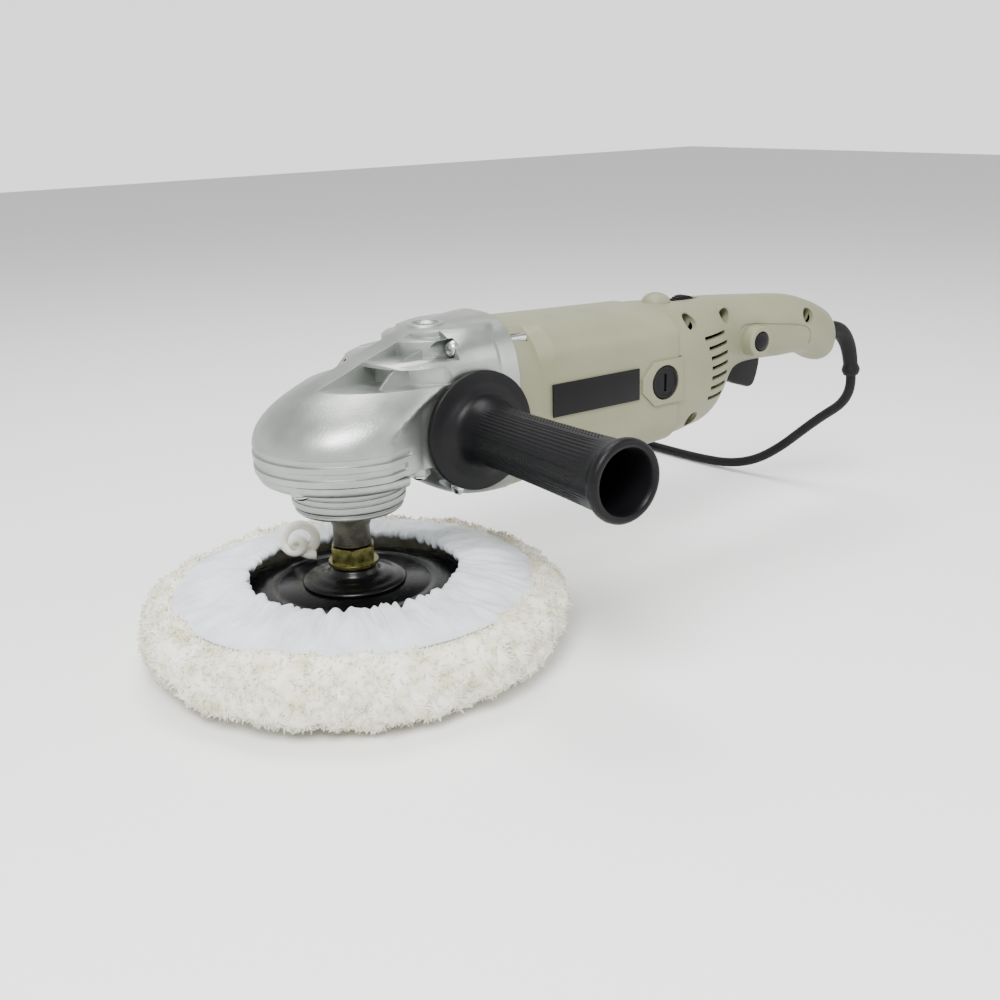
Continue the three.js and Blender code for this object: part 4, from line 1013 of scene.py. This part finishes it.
def makeScrew(name, node, at, towards, headR, headLong, shankR, long, turn=0.4):
    # pan head with a cross recess; the head stands on the start and the shank runs the other way
    head = turned(bmesh.new(), [
        (0, headLong), (headR * 0.45, headLong * 0.97), (headR * 0.8, headLong * 0.72), (headR, headLong * 0.25),
        (headR, 0), (shankR, 0), (shankR, -long), (0, -long)], 36)
    recess = crossRecess(bmesh.new(), headR * 0.55, -headLong * 0.45)
    bmesh.ops.rotate(recess, matrix=Matrix.Rotation(turn, 3, "Z"), verts=recess.verts)
    bm = solid(head, ("DIFFERENCE", recess))
    spin = Vector(towards).to_track_quat("Z", "Y").to_matrix()
    bmesh.ops.rotate(bm, matrix=spin, verts=bm.verts)
    bmesh.ops.translate(bm, vec=at, verts=bm.verts)
    slot = slotOf[node]
    return finishPiece(name, bm, finishes[slot], bodyOf[node], [node])


def makeScrews():
    for k, (x, y) in enumerate(((-36, -19), (-36, 19), (27.5, -28), (27.5, 28))):
        makeScrew(f"cover_pan_screw_{k + 1}", f"cover_screw_{k + 1}", (x, y, 99), (0, 0, -1), 4, 2.6, 2, 13.4, k)
    for k, (y, z) in enumerate(((-28, 162.4), (28, 162.4), (-28, 88), (28, 88))):
        makeScrew(f"head_pan_screw_{k + 1}", f"head_screw_{k + 1}", (51.2, y, z), (-1, 0, 0), 4.6, 3.4, 2.2, 45, k)
    for k, (x, z) in enumerate(((214.5, 156), (250.5, 154.4), (328, 144.4), (214.4, 97.5))):
        makeScrew(f"shell_screw_{k + 1}", f"housing_screw_{k + 1}", (x, -12.3, z), (0, -1, 0), 3.4, 2.4, 1.7, 20, k)


makeCover()
makeScrews()
print("cover and screws made", round(time.time() - started))


# ---- motor housing

bodySettings = {
    "flat": 39.8,
    "wall": 3,
    "collar": [  # round sections behind the gear case
        {"x": 85.3, "half": 40, "bottom": 76, "top": 173.2, "square": 2.75},
        {"x": 88, "half": 40, "bottom": 76, "top": 172.6, "square": 2.75},
        {"x": 95, "half": 39.8, "bottom": 76.4, "top": 171.2, "square": 2.7},
        {"x": 99, "half": 39.3, "bottom": 76.9, "top": 169.4, "square": 2.62},
        {"x": 101, "half": 38.9, "bottom": 77.2, "top": 168.7, "square": 2.6},
    ],
    "main": [  # squarer sections with a flat panel on each side
        {"x": 108, "bottom": 77.7, "top": 168.3}, {"x": 130, "bottom": 79.1, "top": 167.5},
        {"x": 150, "bottom": 80.4, "top": 166.8}, {"x": 175, "bottom": 82.4, "top": 166},
        {"x": 197, "bottom": 84, "top": 165.3},
    ],
    "shoulderZ": 138.8,
    "hipZ": 114,
    "boss": {"x": (169, 200), "z": (113, 139), "corner": 9, "out": 41.4},
}


def polarRing(x, inside, count=120, centre=126):
    # where rays from the motor axis leave the section
    ring = []
    for k in range(count):
        a = math.tau * (k + 0.5) / count
        low, high = 10.0, 90.0
        for _ in range(22):
            r = (low + high) / 2
            low, high = (r, high) if inside(abs(r * math.cos(a)), centre + r * math.sin(a)) else (low, r)
        ring.append((x, low * math.cos(a), centre + low * math.sin(a)))
    return ring


def collarInside(row, inset=0):
    n, c, h = row["square"], (row["top"] + row["bottom"]) / 2, (row["top"] - row["bottom"]) / 2 - inset
    return lambda y, z: (y / (row["half"] - inset)) ** n + abs((z - c) / h) ** n <= 1


def mainInside(s, row, inset=0):
    def inside(y, z):
        if y > s["flat"] - inset:
            return False
        if z > s["shoulderZ"]:
            return (y / (41.2 - inset)) ** 3.2 + ((z - s["shoulderZ"]) / (row["top"] - inset - s["shoulderZ"])) ** 3.2 <= 1
        if z < s["hipZ"]:
            return (y / (40.6 - inset)) ** 3 + ((s["hipZ"] - z) / (s["hipZ"] - row["bottom"] - inset)) ** 3 <= 1
        return True
    return inside


def bossPrisms(s, grow=0, near=34):
    (x0, x1), (z0, z1), c, out = s["x"], s["z"], s["corner"], s["out"]
    outline = [(x0 + c, z0 - grow), (x1 + grow, z0 - grow), (x1 + grow, z1 + grow), (x0 + c, z1 + grow),
               (x0 - grow, z1 - c), (x0 - grow, z0 + c)]
    bm = bmesh.new()
    prism(bm, outline, -out, -near, bevel=0 if grow else 0.7)
    prism(bm, outline, near, out, bevel=0 if grow else 0.7)
    return bm


def makeBody(s):
    rings = [polarRing(r["x"], collarInside(r)) for r in s["collar"]]
    rings += [polarRing(r["x"], mainInside(s, r)) for r in s["main"]]
    shell = finishPiece("motor_case", skin(bmesh.new(), rings), finishes["grey_shell"], "root",
                        ["motor_housing"])
    w = s["wall"]
    inner = [polarRing(84, collarInside(s["collar"][0], w)), polarRing(100, collarInside(s["collar"][3], w))]
    inner += [polarRing(r["x"], mainInside(s, r, w)) for r in s["main"][:-1]]
    inner.append(polarRing(194, mainInside(s, s["main"][-1], w)))
    hollow = skin(bmesh.new(), inner)
    rod(hollow, 16.2, 190, 212, "x", (0, 0, 126))
    for side in (-1, 1):
        low, high = sorted((side * 15, side * 60))
        rod(hollow, 10.1, low, high, "y", (186, 0, 126), 72)
    for y, z in ((-28, 162.4), (28, 162.4), (-28, 88), (28, 88)):
        rod(hollow, 2.5, 80, 97.5, "x", (0, y, z), 24)
    seat = turned(bmesh.new(), [(13.3, 196), (16.4, 196), (16.4, 211), (13.3, 211)], axis="x", at=(0, 0, 126))
    carve(shell, ("UNION", bossPrisms(s["boss"])), ("DIFFERENCE", hollow), ("UNION", seat), sharp=24)
    caps = {"left": -1, "right": 1}
    for name, side in caps.items():
        bm = turned(bmesh.new(), [(0, 41), (7.6, 41), (7.8, 41.4), (8.9, 41.4), (9.6, 40.8), (9.8, 40), (9.8, 37.5),
                                  (0, 37.5)], 72, "y")
        bmesh.ops.rotate(bm, matrix=Matrix.Rotation(0 if side > 0 else math.pi, 3, "Z"), verts=bm.verts)
        bmesh.ops.translate(bm, vec=(186, 0, 126), verts=bm.verts)
        slot = bmesh.new()
        low, high = sorted((side * 39.6, side * 45))
        cuboid(slot, (185.1, low, 120.8), (186.9, high, 131.2))
        cap = finishPiece(f"slotted_brush_cap_{name}", bm, finishes["black_plastic"], "root",
                          [f"brush_cap_{name}"])
        carve(cap, ("DIFFERENCE", slot))
    plate = prism(bmesh.new(), [(105.4, 118.7), (166.9, 118.7), (166.9, 137), (105.4, 137)], -41, -40.1, bevel=0.35)
    finishPiece("blank_name_plate", plate, finishes["black_plastic"], "root", ["name_plate"], sharp=60)


makeBody(bodySettings)
print("motor case made", round(time.time() - started))


# ---- rear housing

rearSettings = {
    "sections": [(197.3, 39.7, 84.4, 165.2, 3), (208, 39, 85.7, 164.6, 3), (220, 37.8, 86.9, 164, 2.8),
                 (231, 35.9, 88.2, 163.6, 2.7), (241, 32.3, 91.5, 163.4, 2.6), (250, 27.8, 97.9, 163.3, 2.5),
                 (258, 23.4, 106.3, 163, 2.5), (266, 20.6, 113, 162.4, 2.4), (275, 19.6, 117, 161.7, 2.4),
                 (288, 19.7, 118.4, 160.4, 2.4), (314, 20.8, 117.6, 157.9, 2.3), (328, 20.8, 117.5, 155.9, 2.3),
                 (337.4, 20.3, 116.4, 153, 2.3), (345.3, 19.4, 113, 150.2, 2.3), (352.2, 18.1, 109.6, 147.1, 2.3),
                 (358.2, 16.2, 109.2, 143.9, 2.3), (362.6, 13.4, 111.4, 139.6, 2.2), (365, 9.4, 115, 135, 2.1),
                 (366, 5, 119.8, 130.7, 2)],
    "wall": 2.8,
    "screws": ((214.5, 156, 28), (250.5, 154.4, 24), (328, 144.4, 18), (214.4, 97.5, 30)),
    "vents": 7,
    "gripLine": [(265.7, 127.4), (264.6, 136), (265.6, 142.4), (269, 145), (277.2, 145.2), (300, 142.4), (318, 140),
                 (326, 137.6), (330, 133.6), (331.2, 125.7)],
}


def sideOf(rows, x, z):
    # half width of the shell at a place on its side
    for a, b in zip(rows, rows[1:]):
        if a["x"] <= x <= b["x"]:
            t = (x - a["x"]) / (b["x"] - a["x"])
            half, bottom, top, n = (a[k] + (b[k] - a[k]) * t for k in ("half", "bottom", "top", "square"))
            return half * (1 - abs((z - (top + bottom) / 2) / ((top - bottom) / 2)) ** n) ** (1 / n)
    return rows[-1]["half"]


def tubeAlong(bm, path, radius, sides=10):
    rings = []
    for k, p in enumerate(path):
        ahead = (path[min(k + 1, len(path) - 1)] - path[max(k - 1, 0)]).normalized()
        side = ahead.cross(Vector((0, 1, 0))).normalized()
        out = side.cross(ahead)
        rings.append([tuple(p + radius * (math.cos(a) * side + math.sin(a) * out))
                      for a in (math.tau * i / sides for i in range(sides))])
    return skin(bm, rings)


def makeRear(s):
    rows = [dict(zip(("x", "half", "bottom", "top", "square"), row)) for row in s["sections"]]
    fine = smoothTable(rows, ("x", "half", "bottom", "top", "square"), 2.4)
    grip = [Vector((x, 0, z)) for x, z in s["gripLine"]]
    for _ in range(2):
        grip = [grip[0]] + [p for a, b in zip(grip, grip[1:]) for p in (a.lerp(b, 0.25), a.lerp(b, 0.75))] + [grip[-1]]
    for name, side in (("left", -1), ("right", 1)):
        shell = finishPiece(f"grip_shell_{name}", skin(bmesh.new(), [roundedRing(r) for r in fine]),
                            finishes["grey_shell"], "root", [f"rear_housing_{name}"])

        def mine(near, far):
            return sorted((side * near, side * far))
        extras = bmesh.new()
        bmesh.ops.create_uvsphere(extras, u_segments=48, v_segments=24, radius=1)
        bmesh.ops.scale(extras, vec=(8.8, 9, 6.4), verts=extras.verts)
        bmesh.ops.translate(extras, vec=(214.5, 0, 163.6), verts=extras.verts)
        if side < 0:
            collar = turned(bmesh.new(), [(0, -26.6), (8.6, -26.6), (9.4, -25.8), (10.2, -16), (0, -16)],
                            72, "y", (279, 0, 135))
            extras = together(extras, collar)
        inner = [roundedRing(r, inset=s["wall"]) for r in fine if r["x"] < 361]
        inner[0] = [(x - 2, y, z) for x, y, z in inner[0]]
        hollow = skin(bmesh.new(), inner)
        posts, holes = bmesh.new(), bmesh.new()
        for x, z, out in s["screws"]:
            low, high = mine(0.2, out - 3)
            rod(posts, 5.2, low, high, "y", (x, 0, z), 40)
            if side < 0:
                turned(holes, [(0, -60), (4.9, -60), (4.9, -out), (4.3, -out + 3), (4.3, -12), (2, -12), (2, 1),
                               (0, 1)], 40, "y", (x, 0, z))
            else:
                rod(holes, 2, -1, 12, "y", (x, 0, z), 24)
        for k in range(s["vents"]):
            bow = 0.42 * (k - (s["vents"] - 1) / 2) ** 2
            long = (23 - 0.9 * k) / 2
            slot = bmesh.new()
            low, high = mine(18, 58)
            prism(slot, [(-long, -1.15), (long - 0.9, -1.15), (long, -0.3), (long, 0.3), (long - 0.9, 1.15),
                         (-long, 1.15)], low, high)
            bmesh.ops.rotate(slot, matrix=Matrix.Rotation(-0.03, 3, "Y"), verts=slot.verts)
            bmesh.ops.translate(slot, vec=(237.6 - bow, 0, 145.6 - 6.05 * k), verts=slot.verts)
            pour(slot, holes)
        pour(bossPrisms(bodySettings["boss"], grow=0.3, near=33.8), holes)
        cuboid(holes, (264.8, -8.1, 95), (299.2, 8.1, 126.5))
        cuboid(holes, (224.5, -3.5, 150), (246.5, 3.5, 170))
        cuboid(holes, (222.3, -3.5, 139), (248.7, 3.5, 160.2))
        rod(holes, 7, 351, 380, "x", (0, 0, 126.8))
        if side < 0:
            rod(holes, 6.35, -60, -10, "y", (279, 0, 135))
        low, high = mine(-80, 0.13)
        cuboid(holes, (180, low, 50), (420, high, 200))
        path = [Vector((p.x, side * sideOf(fine, p.x, p.z), p.z)) for p in grip]
        tubeAlong(holes, path, 0.55)
        carve(shell, ("UNION", extras), ("DIFFERENCE", hollow), ("UNION", posts), ("DIFFERENCE", holes), sharp=30)


makeRear(rearSettings)
print("rear housing made", round(time.time() - started))


# ---- controls

def makeControls():
    outline = [(266, 113.6), (268, 111.2), (270.3, 109), (273.2, 106.9), (276.4, 105.3), (279.8, 104.2),
               (283, 103.2), (286, 102), (288.6, 101.3), (290.8, 101.3), (292.8, 102.2), (294.3, 104.2),
               (295.6, 107.4), (296.8, 111.2), (297.7, 115), (298, 117.6), (298, 120.5), (266, 120.5)]
    bm = prism(bmesh.new(), outline, -7.5, 7.5)
    rims = [e for e in bm.edges if abs(e.verts[0].co.y - e.verts[1].co.y) < 0.01 and abs(e.verts[0].co.y) > 7
            and min(v.co.z for v in e.verts) < 120]
    bmesh.ops.bevel(bm, geom=rims, offset=1.9, offset_type="OFFSET", affect="EDGES", segments=4, profile=0.5,
                    material=-1)
    finishPiece("trigger_lever", bm, finishes["black_plastic"], "trigger", ["trigger"], sharp=35)
    bm = turned(bmesh.new(), [(0, -27.9), (2.6, -27.8), (4.6, -27.4), (5.6, -26.8), (6, -25.9), (6, -15), (0, -15)],
                64, "y", (279, 0, 135))
    finishPiece("lock_pin_button", bm, finishes["black_plastic"], "lock_button", ["lock_button"])
    ribs = 36
    wheel = []
    for k in range(ribs):
        for turn, r in ((0, 12.4), (0.42, 12.4), (0.55, 11.7), (0.87, 11.7)):
            a = math.tau * (k + turn) / ribs
            wheel.append((235.5 + r * math.cos(a), 153.6 + r * math.sin(a)))
    bm = prism(bmesh.new(), wheel, -3, 3)
    dial = finishPiece("speed_thumb_wheel", bm, finishes["black_plastic"], "speed_dial", ["speed_dial"])
    carve(dial, ("DIFFERENCE", rod(bmesh.new(), 2.3, -5, 5, "y", (235.5, 0, 153.6), 32)))


makeControls()
print("controls made", round(time.time() - started))


# ---- side handle

handleSettings = {
    "flangeY": 40.4,
    "long": 119,
    "ribs": 9,
    "ribDepth": 0.42,
    "ribbed": (60, 143),
    "sectors": 4,
    "dots": 34,
}


def makeHandle(s):
    y0, tip = s["flangeY"], s["flangeY"] + s["long"]
    outer = [(5.2, y0), (31, y0), (31.6, y0 + 0.5), (31.6, y0 + 2.8), (31.2, y0 + 3.4), (30.4, y0 + 3.6),
             (26.4, y0 + 4.3), (23.4, y0 + 5), (22.6, y0 + 5.8), (20.6, y0 + 6.6), (19.2, y0 + 7.8), (18, y0 + 9.6),
             (17.2, y0 + 12), (16.5, y0 + 15), (16.1, y0 + 18), (16, 60), (16, 63)]
    outer += [(16 + 1.4 * (k / 20) ** 2, 63 + 4 * k) for k in range(1, 21)]
    outer += [(17.4, tip - 12), (17.6, tip - 9), (18.3, tip - 7), (19.3, tip - 5.8), (19.9, tip - 4.6),
              (20.1, tip - 3.2), (19.9, tip - 1.6), (19.3, tip - 0.5), (18.4, tip), (16.6, tip), (15.9, tip - 0.6),
              (15.3, tip - 3), (14.3, tip - 8), (13, tip - 40), (12.9, tip - 78), (12, tip - 79.4), (5.2, tip - 80)]
    bm = turned(bmesh.new(), [(r, -y) for r, y in outer], 360, "y", (0, 0, 0))
    sector = math.tau / s["sectors"]
    for v in bm.verts:
        r, y = math.hypot(v.co.x, v.co.z), -v.co.y
        if s["ribbed"][0] - 2 < y < s["ribbed"][1] + 2 and r > 15.5:
            within = (math.atan2(v.co.z, v.co.x) % sector) / sector
            if 0.16 < within < 0.84:
                wave = math.cos(math.tau * s["ribs"] * (within - 0.16) / 0.68)
                fade = min(1, (y - s["ribbed"][0] + 2) / 4, (s["ribbed"][1] + 2 - y) / 4)
                grow = 1 - s["ribDepth"] * (0.5 + 0.5 * wave) * fade / r
                v.co.x *= grow
                v.co.z *= grow
    dots = bmesh.new()
    for k in range(s["sectors"]):
        for row in (-0.045, 0.045):
            a = sector * (k + row)
            for i in range(s["dots"]):
                y = 64 + i * 2.3
                r = 16 + 1.4 * max(0, (y - 63) / 80) ** 2
                made = bmesh.ops.create_icosphere(dots, subdivisions=1, radius=0.5)["verts"]
                bmesh.ops.translate(dots, vec=(r * math.cos(a), -y, r * math.sin(a)), verts=made)
    bm = together(bm, dots)
    bmesh.ops.translate(bm, vec=(57, 0, 120.7), verts=bm.verts)
    finishPiece("ribbed_side_handle", bm, finishes["black_plastic"], "side_handle", ["side_handle"],
                sharp=50, merge=0.0005)


makeHandle(handleSettings)
print("handle made", round(time.time() - started))
